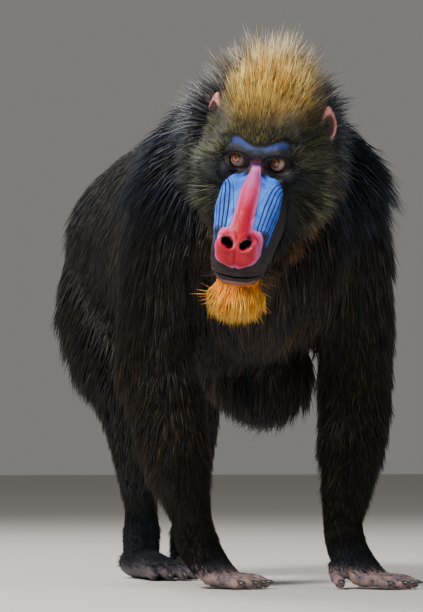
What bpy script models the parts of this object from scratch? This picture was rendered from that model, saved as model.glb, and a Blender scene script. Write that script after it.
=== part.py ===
"""A life-size adult male mandrill standing on all fours, its head turned to its right.

The animal faces -Y, its left is +X and the floor is z = 0. The body is modelled whole, with its
coat in locks, and is then parted by thin cuts into the pieces that a person would name.
"""

import math
import random

import bmesh
import bpy
from mathutils import Euler, Matrix, Vector
from mathutils.bvhtree import BVHTree

# Cuts between the pieces, in metres like every size below
GAP = 0.0003
CUFF_Z = 0.078
ELBOW_Z = 0.300
KNEE_Z = 0.272

# Trunk stations: x, y, z of the centre, half width and half height
TRUNK = (
    (-0.008, -0.115, 0.535, 0.058, 0.080),
    (-0.004, -0.070, 0.530, 0.098, 0.138),
    (0.000, 0.000, 0.520, 0.124, 0.168),
    (0.006, 0.080, 0.508, 0.130, 0.178),
    (0.008, 0.170, 0.500, 0.128, 0.172),
    (0.000, 0.270, 0.500, 0.120, 0.156),
    (-0.010, 0.370, 0.502, 0.113, 0.138),
    (-0.020, 0.460, 0.496, 0.108, 0.118),
    (-0.020, 0.530, 0.488, 0.092, 0.098),
    (-0.020, 0.575, 0.480, 0.056, 0.064),
)
TRUNK_SQUARENESS = 2.4
# The low chest and paunch that show between the forelegs
PAUNCH = (
    (0.040, 0.075, 0.360, 0.040, 0.050),
    (0.044, 0.100, 0.332, 0.058, 0.080),
    (0.044, 0.160, 0.330, 0.060, 0.080),
    (0.034, 0.230, 0.350, 0.058, 0.066),
    (0.015, 0.290, 0.385, 0.045, 0.045),
)
NECK = (
    (0.000, 0.040, 0.575, 0.090, 0.105),
    (-0.004, -0.010, 0.590, 0.090, 0.104),
    (-0.020, -0.080, 0.606, 0.084, 0.095),
    (-0.045, -0.150, 0.606, 0.070, 0.078),
)
# Legs from root to cuff: right is the animal's own right, at -X
ARM_RIGHT = (
    (-0.072, 0.015, 0.630, 0.030, 0.055),
    (-0.092, 0.012, 0.580, 0.050, 0.085),
    (-0.112, 0.018, 0.490, 0.057, 0.078),
    (-0.130, 0.034, 0.400, 0.050, 0.060),
    (-0.136, 0.040, 0.325, 0.045, 0.050),
    (-0.124, 0.030, 0.250, 0.043, 0.045),
    (-0.110, 0.016, 0.160, 0.035, 0.035),
    (-0.098, 0.005, 0.100, 0.028, 0.028),
    (-0.095, 0.000, 0.060, 0.027, 0.026),
)
ARM_LEFT = (
    (0.072, 0.012, 0.630, 0.030, 0.055),
    (0.094, 0.004, 0.580, 0.050, 0.085),
    (0.116, 0.002, 0.490, 0.057, 0.077),
    (0.135, 0.006, 0.400, 0.050, 0.058),
    (0.141, 0.004, 0.325, 0.045, 0.049),
    (0.135, -0.014, 0.250, 0.043, 0.044),
    (0.116, -0.042, 0.160, 0.035, 0.034),
    (0.100, -0.062, 0.100, 0.028, 0.027),
    (0.096, -0.070, 0.060, 0.027, 0.025),
)
LEG_RIGHT = (
    (-0.078, 0.480, 0.510, 0.046, 0.075),
    (-0.090, 0.455, 0.430, 0.052, 0.082),
    (-0.094, 0.410, 0.350, 0.047, 0.066),
    (-0.086, 0.375, 0.290, 0.038, 0.048),
    (-0.066, 0.395, 0.220, 0.031, 0.041),
    (-0.048, 0.418, 0.150, 0.025, 0.030),
    (-0.042, 0.424, 0.100, 0.023, 0.026),
    (-0.042, 0.420, 0.060, 0.024, 0.027),
)
LEG_LEFT = (
    (0.038, 0.495, 0.510, 0.046, 0.075),
    (0.050, 0.485, 0.430, 0.050, 0.080),
    (0.050, 0.465, 0.350, 0.044, 0.064),
    (0.046, 0.445, 0.290, 0.036, 0.047),
    (0.052, 0.470, 0.220, 0.031, 0.041),
    (0.058, 0.500, 0.150, 0.025, 0.030),
    (0.060, 0.512, 0.100, 0.023, 0.026),
    (0.060, 0.510, 0.060, 0.024, 0.027),
)
# The swell of the mane over neck and shoulders
MANE_AT = (-0.010, 0.020, 0.605)
MANE_RADII = (0.132, 0.120, 0.115)
TAIL = (
    (-0.020, 0.520, 0.545, 0.024, 0.024),
    (-0.020, 0.572, 0.558, 0.016, 0.016),
    (-0.020, 0.606, 0.564, 0.012, 0.012),
    (-0.020, 0.634, 0.572, 0.009, 0.009),
)

# Coat on body and legs in rows of locks. Each entry holds the path that the rows go round, where
# they start and end along it, how many there are, the angles round it (0 is under a trunk or in
# front of a leg, 90 is the animal's left), the heading of the hair, the length, width and
# thickness of a lock, and how steeply it stands off the skin.
ALL_OVER = (66, 112, 158, 202, 248, 294)
CHEST_FRONT = (-48, 0, 48)
OUTER_LEFT = (30, 95, 160)
OUTER_RIGHT = (200, 265, 330)
COAT = (
    (TRUNK, 0.30, 0.97, 4, ALL_OVER, (0.0, 0.75, -0.65), (0.145, 0.062, 0.013), 0.15),
    (NECK, 0.16, 0.72, 2, ALL_OVER, (0.0, 0.72, -0.70), (0.140, 0.060, 0.015), 0.24),
    (TRUNK, 0.05, 0.15, 2, CHEST_FRONT, (0.0, -0.20, -1.0), (0.105, 0.046, 0.011), 0.10),
    (ARM_LEFT, 0.18, 0.46, 2, OUTER_LEFT, (0.15, 0.35, -0.9), (0.115, 0.050, 0.011), 0.24),
    (ARM_RIGHT, 0.18, 0.46, 2, OUTER_RIGHT, (-0.15, 0.35, -0.9), (0.115, 0.050, 0.011), 0.24),
    (ARM_LEFT, 0.58, 0.80, 2, OUTER_LEFT, (0.1, 0.35, -0.9), (0.078, 0.036, 0.009), 0.16),
    (ARM_RIGHT, 0.58, 0.80, 2, OUTER_RIGHT, (-0.1, 0.35, -0.9), (0.078, 0.036, 0.009), 0.16),
    (LEG_LEFT, 0.14, 0.44, 2, OUTER_LEFT, (0.0, 0.40, -0.9), (0.120, 0.050, 0.011), 0.14),
    (LEG_RIGHT, 0.14, 0.44, 2, OUTER_RIGHT, (0.0, 0.40, -0.9), (0.120, 0.050, 0.011), 0.14),
    (LEG_LEFT, 0.66, 0.66, 1, OUTER_LEFT, (0.0, 0.30, -0.9), (0.070, 0.032, 0.008), 0.12),
    (LEG_RIGHT, 0.66, 0.66, 1, OUTER_RIGHT, (0.0, 0.30, -0.9), (0.070, 0.032, 0.008), 0.12),
    (TAIL, 0.80, 0.80, 1, (0, 120, 240), (0.0, 1.0, 0.15), (0.044, 0.016, 0.006), 0.25),
)
COAT_SEED = 7

# Head: the point between the eyes, and the turn to the right, the nod and the tilt in degrees
EYES_AT = Vector((-0.082, -0.236, 0.575))
HEAD_TURN = 27.5
HEAD_NOD = 17.0
HEAD_TILT = 8.0
# In the head's own axes: x to its left, -y forward, z up, from the point between the eyes
EYE_AT = (0.0265, 0.0075, 0.0)
EYE_RADIUS = 0.0125
EAR_AT = (0.076, 0.098, 0.034)
EAR_TURN = -38.0
# The balls that round off skull, cheeks, nose and lips, each with its centre and half sizes: first
# those in the middle, then those on each side
MIDDLE_BALLS = (
    ((0.0, 0.072, 0.010), (0.064, 0.086, 0.060)),
    ((0.0, 0.060, -0.050), (0.060, 0.070, 0.055)),
    ((0.0, -0.128, -0.094), (0.029, 0.018, 0.022)),
    ((0.0, -0.108, -0.126), (0.036, 0.026, 0.018)),
    ((0.0, -0.094, -0.148), (0.030, 0.030, 0.014)),
)
SIDE_BALLS = (
    ((0.045, 0.026, -0.016), (0.024, 0.036, 0.019)),
    ((0.0165, -0.136, -0.086), (0.0135, 0.0125, 0.0140)),
    ((0.0140, -0.134, -0.098), (0.0150, 0.0120, 0.0130)),
    (EYE_AT, (0.0165, 0.0140, 0.0140)),
)
BROW = (
    (-0.047, 0.014, 0.008, 0.008, 0.010),
    (-0.026, -0.004, 0.016, 0.010, 0.011),
    (0.0, -0.008, 0.011, 0.009, 0.010),
    (0.026, -0.004, 0.016, 0.010, 0.011),
    (0.047, 0.014, 0.008, 0.008, 0.010),
)
MUZZLE = (
    (0.0, 0.035, -0.068, 0.052, 0.068),
    (0.0, 0.000, -0.075, 0.045, 0.066),
    (0.0, -0.030, -0.082, 0.043, 0.062),
    (0.0, -0.060, -0.093, 0.042, 0.055),
    (0.0, -0.090, -0.104, 0.040, 0.049),
    (0.0, -0.114, -0.110, 0.036, 0.040),
    (0.0, -0.130, -0.112, 0.026, 0.028),
)
NOSE_RIDGE = (
    (0.0, 0.002, -0.009, 0.0045, 0.006),
    (0.0, -0.030, -0.020, 0.0085, 0.010),
    (0.0, -0.055, -0.034, 0.0110, 0.011),
    (0.0, -0.090, -0.056, 0.0120, 0.012),
    (0.0, -0.126, -0.080, 0.0150, 0.012),
)
SWELLING = (
    (0.024, -0.012, -0.022, 0.008, 0.007),
    (0.027, -0.028, -0.030, 0.014, 0.012),
    (0.028, -0.062, -0.052, 0.0155, 0.014),
    (0.025, -0.104, -0.078, 0.012, 0.011),
)
MOUTH = (
    (-0.047, -0.045, -0.128),
    (-0.041, -0.080, -0.136),
    (-0.028, -0.114, -0.141),
    (0.000, -0.134, -0.141),
    (0.028, -0.114, -0.141),
    (0.041, -0.080, -0.136),
    (0.047, -0.045, -0.128),
)
# Cuts on each side, with their centre, half sizes and turn: between the lids and for the nostril
LID_CUT = ((EYE_AT[0], EYE_AT[1] - 0.0125, -0.0005), (0.0112, 0.0140, 0.0062), -0.24)
NOSTRIL_CUT = ((0.0120, -0.150, -0.0825), (0.0076, 0.0120, 0.0046), -0.5)
MOUTH_CUT = (0.0013, 0.0075)
EAR_ROOM = 0.0006
# The close underlayer of crest, ruff and beard, half way out to the tips
HEAD_CORES = (
    ((0.0, 0.085, 0.052), (0.036, 0.050, 0.040)),
    ((0.0, 0.068, -0.030), (0.086, 0.050, 0.070)),
    ((0.0, -0.066, -0.152), (0.028, 0.026, 0.022)),
)

# Hair of the head in bands of locks, in the head's own axes. Each entry holds the point that the
# band goes round, the turns from straight ahead and the rises over level that it covers, the
# heading of the hair, the length, width and thickness of a lock, and how steeply it stands.
SIDE_RISES = (-50, -22, 6)
HEAD_HAIR = (
    ((0, 0.075, 0.0), (-144, -72, 0, 72, 144), (54, 80), (0.0, 0.25, 1.0), (0.108, 0.044, 0.015), 1.7),
    ((0, 0.065, 0.0), (-54, -18, 18, 54), (42,), (0.0, 0.80, 0.60), (0.066, 0.034, 0.010), 0.7),
    ((0, 0.060, -0.035), (62, 88, 114), SIDE_RISES, (0.55, 0.60, -0.45), (0.074, 0.038, 0.012), 0.55),
    ((0, 0.060, -0.035), (-62, -88, -114), SIDE_RISES, (-0.55, 0.60, -0.45), (0.074, 0.038, 0.012), 0.55),
    ((0, -0.055, -0.120), (-75, -25, 25, 75), (-74, -46), (0.0, -0.05, -1.0), (0.078, 0.034, 0.014), 0.75),
    ((0, 0.000, -0.092), (-80, -50, 50, 80), (-48,), (0.0, 0.20, -1.0), (0.066, 0.030, 0.011), 0.6),
)

# Hands and feet, in their own axes from the floor under the wrist or ankle, -y forward
HAND_TURN = 33.0
FINGER_STEP = 0.0185
FINGER_RADIUS = 0.0088
TOE_STEP = 0.0175
TOE_RADIUS = 0.0085

# A lock: rings along its length with their shares of its width and thickness, how deep its root
# is sunk, how far behind the root it starts, how it arches, droops and sways as shares of its length
LOCK_PROFILE = ((0.0, 0.70, 0.80), (0.40, 1.0, 1.0), (0.78, 0.66, 0.70))
LOCK_SINK = 0.004
LOCK_TAIL = 0.10
LOCK_ARCH = 0.05
LOCK_DROOP = 0.10
LOCK_SWAY = 0.14

# Fineness of the skins, and how many triangles each keeps
BODY_VOXEL = 0.0080
BODY_TRIANGLES = 1500
HEAD_VOXEL = 0.0035
HEAD_TRIANGLES = 1850
HAND_VOXEL = 0.0028
HAND_TRIANGLES = 250


def clear_scene():
    for item in list(bpy.data.objects):
        bpy.data.objects.remove(item, do_unlink=True)


def add_object(name, mesh):
    item = bpy.data.objects.new(name, mesh)
    bpy.context.collection.objects.link(item)
    return item


def bake(item):
    """Replaces an object's mesh by what its modifiers make of it."""
    bpy.context.view_layer.update()
    seen = item.evaluated_get(bpy.context.evaluated_depsgraph_get())
    made = bpy.data.meshes.new_from_object(seen)
    item.modifiers.clear()
    item.data = made
    return item


def to_object(name, shape):
    """Turns a bmesh into an object with its faces pointing out."""
    bmesh.ops.recalc_face_normals(shape, faces=shape.faces)
    mesh = bpy.data.meshes.new(name)
    shape.to_mesh(mesh)
    shape.free()
    return add_object(name, mesh)


def ball(centre, radii, turn=(0.0, 0.0, 0.0), detail=2):
    """An ellipsoid."""
    shape = bmesh.new()
    bmesh.ops.create_icosphere(shape, subdivisions=detail, radius=1.0)
    place = Matrix.Translation(centre) @ Euler(turn).to_matrix().to_4x4() @ Matrix.Diagonal((*radii, 1.0))
    bmesh.ops.transform(shape, matrix=place, verts=shape.verts)
    return to_object("ball", shape)


def along_path(stations, i, across=(1.0, 0.0, 0.0)):
    """The side and rise of the section at a station: both stand square to the path."""
    centres = [Vector(s[:3]) for s in stations]
    along = (centres[min(i + 1, len(centres) - 1)] - centres[max(i - 1, 0)]).normalized()
    side = Vector(across)
    side = (side - along * side.dot(along)).normalized()
    return side, along.cross(side)


def rounded(value, squareness):
    """A sine or cosine for a section between an ellipse (2) and a rectangle."""
    return math.copysign(abs(value) ** (2.0 / squareness), value)


def loft(stations, sides=14, across=(1.0, 0.0, 0.0), squareness=2.0):
    """A closed tube through stations of centre, half width and half height."""
    shape = bmesh.new()
    rings = []
    for i, station in enumerate(stations):
        side, rise = along_path(stations, i, across)
        ring = []
        for k in range(sides):
            angle = 2.0 * math.pi * k / sides
            wide = station[3] * rounded(math.cos(angle), squareness)
            high = station[4] * rounded(math.sin(angle), squareness)
            ring.append(shape.verts.new(Vector(station[:3]) + side * wide + rise * high))
        rings.append(ring)
    for low, high in zip(rings, rings[1:]):
        for k in range(sides):
            n = (k + 1) % sides
            shape.faces.new((low[k], low[n], high[n], high[k]))
    shape.faces.new(rings[0][::-1])
    shape.faces.new(rings[-1])
    return to_object("loft", shape)


def box(low, high, place=None):
    """A box between two corners, moved by a matrix."""
    shape = bmesh.new()
    bmesh.ops.create_cube(shape, size=1.0)
    low, high = Vector(low), Vector(high)
    size = Matrix.Translation((low + high) / 2) @ Matrix.Diagonal((*(high - low), 1.0))
    bmesh.ops.transform(shape, matrix=(place or Matrix.Identity(4)) @ size, verts=shape.verts)
    return to_object("box", shape)


def mirrored(point):
    """A point or station on the other side of the head or foot."""
    return (-point[0], *point[1:])


def moved(items, place):
    for item in items:
        item.data.transform(place)
    return items


def remove(items):
    for item in items:
        bpy.data.objects.remove(item, do_unlink=True)


def skin_over(items, voxel, triangles, smooth):
    """One closed, smooth skin over overlapping forms."""
    shape = bmesh.new()
    for item in items:
        shape.from_mesh(item.data)
    remove(items)
    whole = to_object("skin", shape)
    remesh = whole.modifiers.new("remesh", "REMESH")
    remesh.mode = "VOXEL"
    remesh.voxel_size = voxel
    soften = whole.modifiers.new("soften", "SMOOTH")
    soften.factor = 0.5
    soften.iterations = smooth
    bake(whole)
    thin = whole.modifiers.new("thin", "DECIMATE")
    thin.ratio = triangles / (2.0 * len(whole.data.polygons))
    thin.use_collapse_triangulate = True
    return bake(whole)


def boolean(item, tool, operation, solver="MANIFOLD"):
    cut = item.modifiers.new(operation.lower(), "BOOLEAN")
    cut.operation = operation
    cut.solver = solver
    cut.object = tool
    return bake(item)


def unite(item, others):
    """Fuses closed meshes into an object in one union."""
    group = bpy.data.collections.new("to_unite")
    bpy.context.scene.collection.children.link(group)
    for other in others:
        bpy.context.collection.objects.unlink(other)
        group.objects.link(other)
    union = item.modifiers.new("union", "BOOLEAN")
    union.operation = "UNION"
    union.solver = "MANIFOLD"
    union.operand_type = "COLLECTION"
    union.collection = group
    bake(item)
    remove(list(group.objects))
    bpy.data.collections.remove(group)
    return item


def largest_surface(item):
    """Keeps an object's largest closed surface."""
    shape = bmesh.new()
    shape.from_mesh(item.data)
    bmesh.ops.triangulate(shape, faces=shape.faces)
    left = set(shape.verts)
    pieces = []
    while left:
        start = left.pop()
        piece = {start}
        edge = [start]
        while edge:
            for link in edge.pop().link_edges:
                for vert in link.verts:
                    if vert in left:
                        left.remove(vert)
                        piece.add(vert)
                        edge.append(vert)
        pieces.append(piece)
    keep = max(pieces, key=surface_volume)
    bmesh.ops.delete(shape, geom=[v for v in shape.verts if v not in keep], context="VERTS")
    shape.to_mesh(item.data)
    shape.free()
    return item


def surface_volume(piece):
    """The volume inside one closed surface, from its triangles."""
    faces = {face for vert in piece for face in vert.link_faces}
    total = 0.0
    for face in faces:
        a, b, c = (vert.co for vert in face.verts)
        total += a.dot(b.cross(c)) / 6.0
    return total


def head_place():
    turn = Matrix.Rotation(math.radians(-HEAD_TURN), 4, "Z")
    nod = Matrix.Rotation(math.radians(HEAD_NOD), 4, "X")
    tilt = Matrix.Rotation(math.radians(HEAD_TILT), 4, "Y")
    return Matrix.Translation(EYES_AT) @ turn @ nod @ tilt


def make_body():
    """Trunk, paunch, neck, four legs to the cuffs and the stub of tail, as one skin."""
    forms = [loft(TRUNK, 24, squareness=TRUNK_SQUARENESS), loft(PAUNCH, 18), loft(NECK, 18)]
    forms += [loft(path) for path in (ARM_RIGHT, ARM_LEFT, LEG_RIGHT, LEG_LEFT, TAIL)]
    return skin_over(forms, BODY_VOXEL, BODY_TRIANGLES, 6)


def make_head():
    """Skull, brow, cheekbones, ridged muzzle, nose, lips and chin."""
    forms = [ball(centre, radii) for centre, radii in MIDDLE_BALLS]
    forms += [loft(MUZZLE, 18), loft(NOSE_RIDGE, 8), loft(BROW, 10, (0, 0, 1))]
    for centre, radii in SIDE_BALLS:
        forms += [ball(centre, radii), ball(mirrored(centre), radii)]
    forms += [loft(SWELLING, 12), loft([mirrored(s) for s in SWELLING], 12)]
    return moved([skin_over(forms, HEAD_VOXEL, HEAD_TRIANGLES, 2)], head_place())[0]


def cut_face(head):
    """Opens the eye sockets between the lids, the nostrils and the line of the mouth."""
    tools = [loft([(*p, *MOUTH_CUT) for p in MOUTH], 6, (0, 0, 1))]
    for side in (1, -1):
        tools.append(ball((side * EYE_AT[0], *EYE_AT[1:]), (EYE_RADIUS + GAP,) * 3, detail=3))
        for centre, radii, turn in (LID_CUT, NOSTRIL_CUT):
            tools.append(ball((side * centre[0], *centre[1:]), radii, (0, side * turn, 0)))
    for tool in moved(tools, head_place()):
        boolean(head, tool, "DIFFERENCE")
    remove(tools)
    return head


def make_eye(name, side):
    eye = ball((side * EYE_AT[0], *EYE_AT[1:]), (EYE_RADIUS,) * 3, detail=3)
    eye.name = name
    return moved([eye], head_place())[0]


def make_ear(name, side):
    """A thin cup with a pointed top, set into the side of the head."""
    cup = ball((0, 0, 0), (0.0075, 0.0185, 0.0260))
    for vert in cup.data.vertices:
        if vert.co.z > 0.0:
            vert.co.y *= 1.0 - 0.35 * vert.co.z / 0.0260
            vert.co.z *= 1.12
    hollow = ball((0.0080, -0.002, 0.001), (0.0075, 0.0120, 0.0185))
    boolean(cup, hollow, "DIFFERENCE")
    remove([hollow])
    root = ball((-0.010, 0.002, -0.008), (0.014, 0.010, 0.012), detail=1)
    unite(cup, [root])
    turn = Matrix.Rotation(math.radians(EAR_TURN), 4, "Z")
    flip = Matrix.Diagonal((side, 1.0, 1.0, 1.0))
    place = head_place() @ flip @ Matrix.Translation(EAR_AT) @ turn
    cup.data.transform(place)
    if side < 0:
        cup.data.flip_normals()
    cup.name = name
    return cup


def grown(item, by):
    """A copy of an object, larger all round."""
    copy = add_object("grown", item.data.copy())
    normals = [v.normal.copy() for v in copy.data.vertices]
    for vert, normal in zip(copy.data.vertices, normals):
        vert.co += normal * by
    return copy


def make_hand(thumb_side, place):
    """A palm raised to the wrist, four fingers flat on the floor and a thumb."""
    palm = (
        (0.0, 0.002, 0.098, 0.029, 0.027),
        (0.0, -0.006, 0.060, 0.032, 0.024),
        (0.0, -0.030, 0.028, 0.038, 0.018),
        (0.0, -0.052, 0.012, 0.037, 0.014),
    )
    forms = [loft(palm, 12)]
    for i in (-1.5, -0.5, 0.5, 1.5):
        reach = 0.118 - 0.008 * abs(i + 0.3)
        forms.append(
            loft(
                (
                    (FINGER_STEP * i, -0.044, 0.014, FINGER_RADIUS, FINGER_RADIUS),
                    (FINGER_STEP * i * 1.12, -0.078, 0.0125, FINGER_RADIUS, FINGER_RADIUS),
                    (FINGER_STEP * i * 1.22, -reach, 0.0055, FINGER_RADIUS * 0.8, FINGER_RADIUS * 0.7),
                ),
                8,
            )
        )
    forms.append(
        loft(
            (
                (thumb_side * 0.020, -0.004, 0.034, 0.010, 0.011),
                (thumb_side * 0.042, -0.022, 0.016, 0.009, 0.009),
                (thumb_side * 0.054, -0.040, 0.006, 0.007, 0.007),
            ),
            8,
        )
    )
    return moved([skin_over(forms, HAND_VOXEL, HAND_TRIANGLES, 2)], place)[0]


def make_foot(toe_side, place):
    """A long sole with a heel, four toes and a big toe that stands apart."""
    sole = (
        (0.0, 0.048, 0.022, 0.018, 0.018),
        (0.0, 0.020, 0.022, 0.025, 0.022),
        (0.0, -0.040, 0.020, 0.029, 0.020),
        (0.0, -0.088, 0.013, 0.034, 0.014),
    )
    ankle = (
        (0.0, 0.000, 0.098, 0.025, 0.026),
        (0.0, 0.002, 0.060, 0.026, 0.028),
        (0.0, 0.004, 0.024, 0.025, 0.032),
    )
    forms = [loft(sole, 12), loft(ankle, 12)]
    for i in (-1.5, -0.5, 0.5, 1.5):
        reach = 0.146 - 0.007 * abs(i - 0.4 * toe_side)
        forms.append(
            loft(
                (
                    (TOE_STEP * i, -0.080, 0.012, TOE_RADIUS, TOE_RADIUS),
                    (TOE_STEP * i * 1.1, -0.112, 0.012, TOE_RADIUS, TOE_RADIUS),
                    (TOE_STEP * i * 1.2, -reach, 0.0055, TOE_RADIUS * 0.8, TOE_RADIUS * 0.7),
                ),
                8,
            )
        )
    forms.append(
        loft(
            (
                (toe_side * 0.018, -0.022, 0.016, 0.012, 0.012),
                (toe_side * 0.040, -0.050, 0.010, 0.010, 0.010),
                (toe_side * 0.054, -0.078, 0.006, 0.008, 0.008),
            ),
            8,
        )
    )
    return moved([skin_over(forms, HAND_VOXEL, HAND_TRIANGLES, 2)], place)[0]


def standing_at(path, turn):
    """Where a hand or foot stands: on the floor under its leg's last station."""
    x, y = path[-1][:2]
    return Matrix.Translation((x, y, 0.0)) @ Matrix.Rotation(math.radians(turn), 4, "Z")


def make_cores():
    """The close underlayer of the hair of head and shoulders."""
    forms = moved([ball(centre, radii) for centre, radii in HEAD_CORES], head_place())
    return forms + [ball(MANE_AT, MANE_RADII)]


def lock(root, normal, heading, size, sway):
    """A flat, tapered lock with a low ridge along it, bending over from its root to its tip."""
    length, width, thick = size
    side = heading.cross(normal).normalized()
    rise = side.cross(heading).normalized()
    start = root - normal * (LOCK_SINK + thick / 2) - heading * (LOCK_TAIL * length)
    shape = bmesh.new()
    rings = []
    for t, wide, high in LOCK_PROFILE:
        arch = LOCK_ARCH * length * math.sin(math.pi * t)
        centre = start + heading * (length * t) + rise * arch + side * (sway * length * t * t)
        centre = centre - Vector((0, 0, LOCK_DROOP * length * t * t))
        half = side * (width * wide / 2)
        ridge = rise * (thick * high)
        rings.append([shape.verts.new(p) for p in (centre + half, centre + ridge, centre - half)])
    tip = start + heading * length + side * (sway * length) - Vector((0, 0, LOCK_DROOP * length))
    point = shape.verts.new(tip)
    shape.faces.new(rings[0][::-1])
    for low, high in zip(rings, rings[1:]):
        for k in range(3):
            n = (k + 1) % 3
            shape.faces.new((low[k], low[n], high[n], high[k]))
    for k in range(3):
        shape.faces.new((rings[-1][k], rings[-1][(k + 1) % 3], point))
    return to_object("lock", shape)


def rooted_lock(surface, start, out, heading, size, stand, rng):
    """A lock rooted where a ray from inside the animal leaves its skin."""
    root, normal = surface.ray_cast(start, out)[:2]
    flow = heading - normal * heading.dot(normal)
    flow = (flow.normalized() + normal * stand * rng.uniform(0.8, 1.2)).normalized()
    scale = rng.uniform(0.88, 1.12)
    size = (size[0] * scale, size[1] * rng.uniform(0.9, 1.1), size[2])
    return lock(root, normal, flow, size, rng.uniform(-LOCK_SWAY, LOCK_SWAY))


def body_locks(surface, rng):
    """Rows of locks round the trunk, neck, legs and tail."""
    locks = []
    for path, first, last, rows, angles, heading, size, stand in COAT:
        for row in range(rows):
            place = first + (last - first) * row / max(rows - 1, 1)
            reach = place * (len(path) - 1)
            i = min(int(reach), len(path) - 2)
            start = Vector(path[i][:3]).lerp(Vector(path[i + 1][:3]), reach - i)
            side, rise = along_path(path, i)
            for angle in angles:
                turn = math.radians(angle + (15 if row % 2 else 0) + rng.uniform(-4, 4))
                out = rise * math.cos(turn) + side * math.sin(turn)
                locks.append(rooted_lock(surface, start, out, Vector(heading), size, stand, rng))
    return locks


def head_locks(surface, rng):
    """The crest, ruff, beard and jaw whiskers."""
    place = head_place()
    turned = place.to_3x3()
    locks = []
    for centre, turns, rises, heading, size, stand in HEAD_HAIR:
        for row, rise in enumerate(rises):
            for turn in turns:
                yaw = math.radians(turn + (12 if row % 2 else 0) + rng.uniform(-4, 4))
                up = math.radians(rise + rng.uniform(-4, 4))
                out = Vector((math.sin(yaw) * math.cos(up), -math.cos(yaw) * math.cos(up), math.sin(up)))
                start = place @ Vector(centre)
                flow = turned @ Vector(heading)
                locks.append(rooted_lock(surface, start, turned @ out, flow, size, stand, rng))
    return locks


def surface_of(item):
    shape = bmesh.new()
    shape.from_mesh(item.data)
    surface = BVHTree.FromBMesh(shape)
    shape.free()
    return surface


def part_from(whole, name, tools, grown_tools):
    """Takes what lies inside the tools off the whole as a piece of its own."""
    piece = add_object(name, whole.data.copy())
    for tool in tools:
        boolean(piece, tool, "INTERSECT")
    for tool in grown_tools:
        boolean(whole, tool, "DIFFERENCE")
    remove(tools + grown_tools)
    return largest_surface(piece)


def cells():
    """Each piece that is cut off the whole: its name and the box that holds it."""
    far = 1.0
    head = Matrix.Translation((-0.045, -0.130, 0.600))
    head = head @ Matrix.Rotation(math.radians(-HEAD_TURN), 4, "Z")
    head = head @ Matrix.Rotation(math.radians(-20.0), 4, "X")
    neck = Matrix.Translation((-0.020, -0.060, 0.580)) @ Matrix.Rotation(math.radians(-15.0), 4, "Z")
    lean_right = Matrix.Translation((-0.088, 0.0, 0.430)) @ Matrix.Rotation(math.radians(9.0), 4, "Y")
    lean_left = Matrix.Translation((0.088, 0.0, 0.430)) @ Matrix.Rotation(math.radians(-9.0), 4, "Y")
    hip_right = Matrix.Translation((-0.050, 0.435, 0.400)) @ Matrix.Rotation(math.radians(-26.0), 4, "X")
    hip_left = Matrix.Translation((0.004, 0.470, 0.400)) @ Matrix.Rotation(math.radians(-16.0), 4, "X")
    tail = Matrix.Translation((-0.020, 0.580, 0.558)) @ Matrix.Rotation(math.radians(-78.0), 4, "X")
    return (
        ("hand_right", (-far, -far, -far), (0.010, 0.180, CUFF_Z), None),
        ("hand_left", (0.010, -far, -far), (far, 0.180, CUFF_Z), None),
        ("foot_right", (-far, 0.180, -far), (0.006, far, CUFF_Z), None),
        ("foot_left", (0.006, 0.180, -far), (far, far, CUFF_Z), None),
        ("forearm_right", (-far, -far, 0.0), (-0.020, 0.200, ELBOW_Z), None),
        ("forearm_left", (0.020, -far, 0.0), (far, 0.066, ELBOW_Z), None),
        ("shank_right", (-far, 0.300, 0.0), (-0.005, far, KNEE_Z), None),
        ("shank_left", (-0.005, 0.300, 0.0), (far, far, KNEE_Z), None),
        ("head", (-far, -far, -0.300), (far, 0.0, far), head),
        ("neck", (-0.110, -far, -0.070), (0.110, 0.045, far), neck),
        ("upper_arm_right", (-far, -0.090, -far), (0.0, 0.100, 0.140), lean_right),
        ("upper_arm_left", (0.0, -0.095, -far), (far, 0.075, 0.140), lean_left),
        ("thigh_right", (-far, -0.075, -far), (0.0, far, 0.065), hip_right),
        ("thigh_left", (0.0, -0.075, -far), (far, far, 0.065), hip_left),
        ("tail", (-0.030, -0.060, 0.0), (0.030, 0.080, 0.200), tail),
    )


def part_body(whole):
    """Parts the whole animal into its named pieces; the torso is what is left."""
    pieces = []
    for name, low, high, place in cells():
        grow = Vector((GAP, GAP, GAP))
        tool = box(low, high, place)
        larger = box(Vector(low) - grow, Vector(high) + grow, place)
        pieces.append(part_from(whole, name, [tool], [larger]))
        largest_surface(whole)
    whole.name = "torso"
    return pieces + [whole]


def centre_over_origin(items):
    """Moves everything so that the middle of the footprint of its box is the origin."""
    points = [vert.co for item in items for vert in item.data.vertices]
    low = Vector([min(p[k] for p in points) for k in range(3)])
    high = Vector([max(p[k] for p in points) for k in range(3)])
    shift = Matrix.Translation((-(low.x + high.x) / 2, -(low.y + high.y) / 2, -low.z))
    moved(items, shift)
    return high - low


def paint(item, colour, roughness):
    material = bpy.data.materials.new(item.name)
    material.use_nodes = True
    shader = material.node_tree.nodes["Principled BSDF"]
    shader.inputs["Base Color"].default_value = (*colour, 1.0)
    shader.inputs["Roughness"].default_value = roughness
    shader.inputs["Metallic"].default_value = 0.0
    item.data.materials.clear()
    item.data.materials.append(material)
    item.data.shade_smooth()
    item.data.set_sharp_from_angle(angle=math.radians(40))


COAT_COLOUR = (0.045, 0.048, 0.046)
SKIN_COLOUR = (0.20, 0.15, 0.15)
COLOURS = {
    "head": ((0.20, 0.17, 0.07), 0.80),
    "ear_left": ((0.42, 0.22, 0.20), 0.60),
    "ear_right": ((0.42, 0.22, 0.20), 0.60),
    "eye_left": ((0.22, 0.09, 0.03), 0.10),
    "eye_right": ((0.22, 0.09, 0.03), 0.10),
    "hand_left": (SKIN_COLOUR, 0.65),
    "hand_right": (SKIN_COLOUR, 0.65),
    "foot_left": (SKIN_COLOUR, 0.65),
    "foot_right": (SKIN_COLOUR, 0.65),
}


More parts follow.
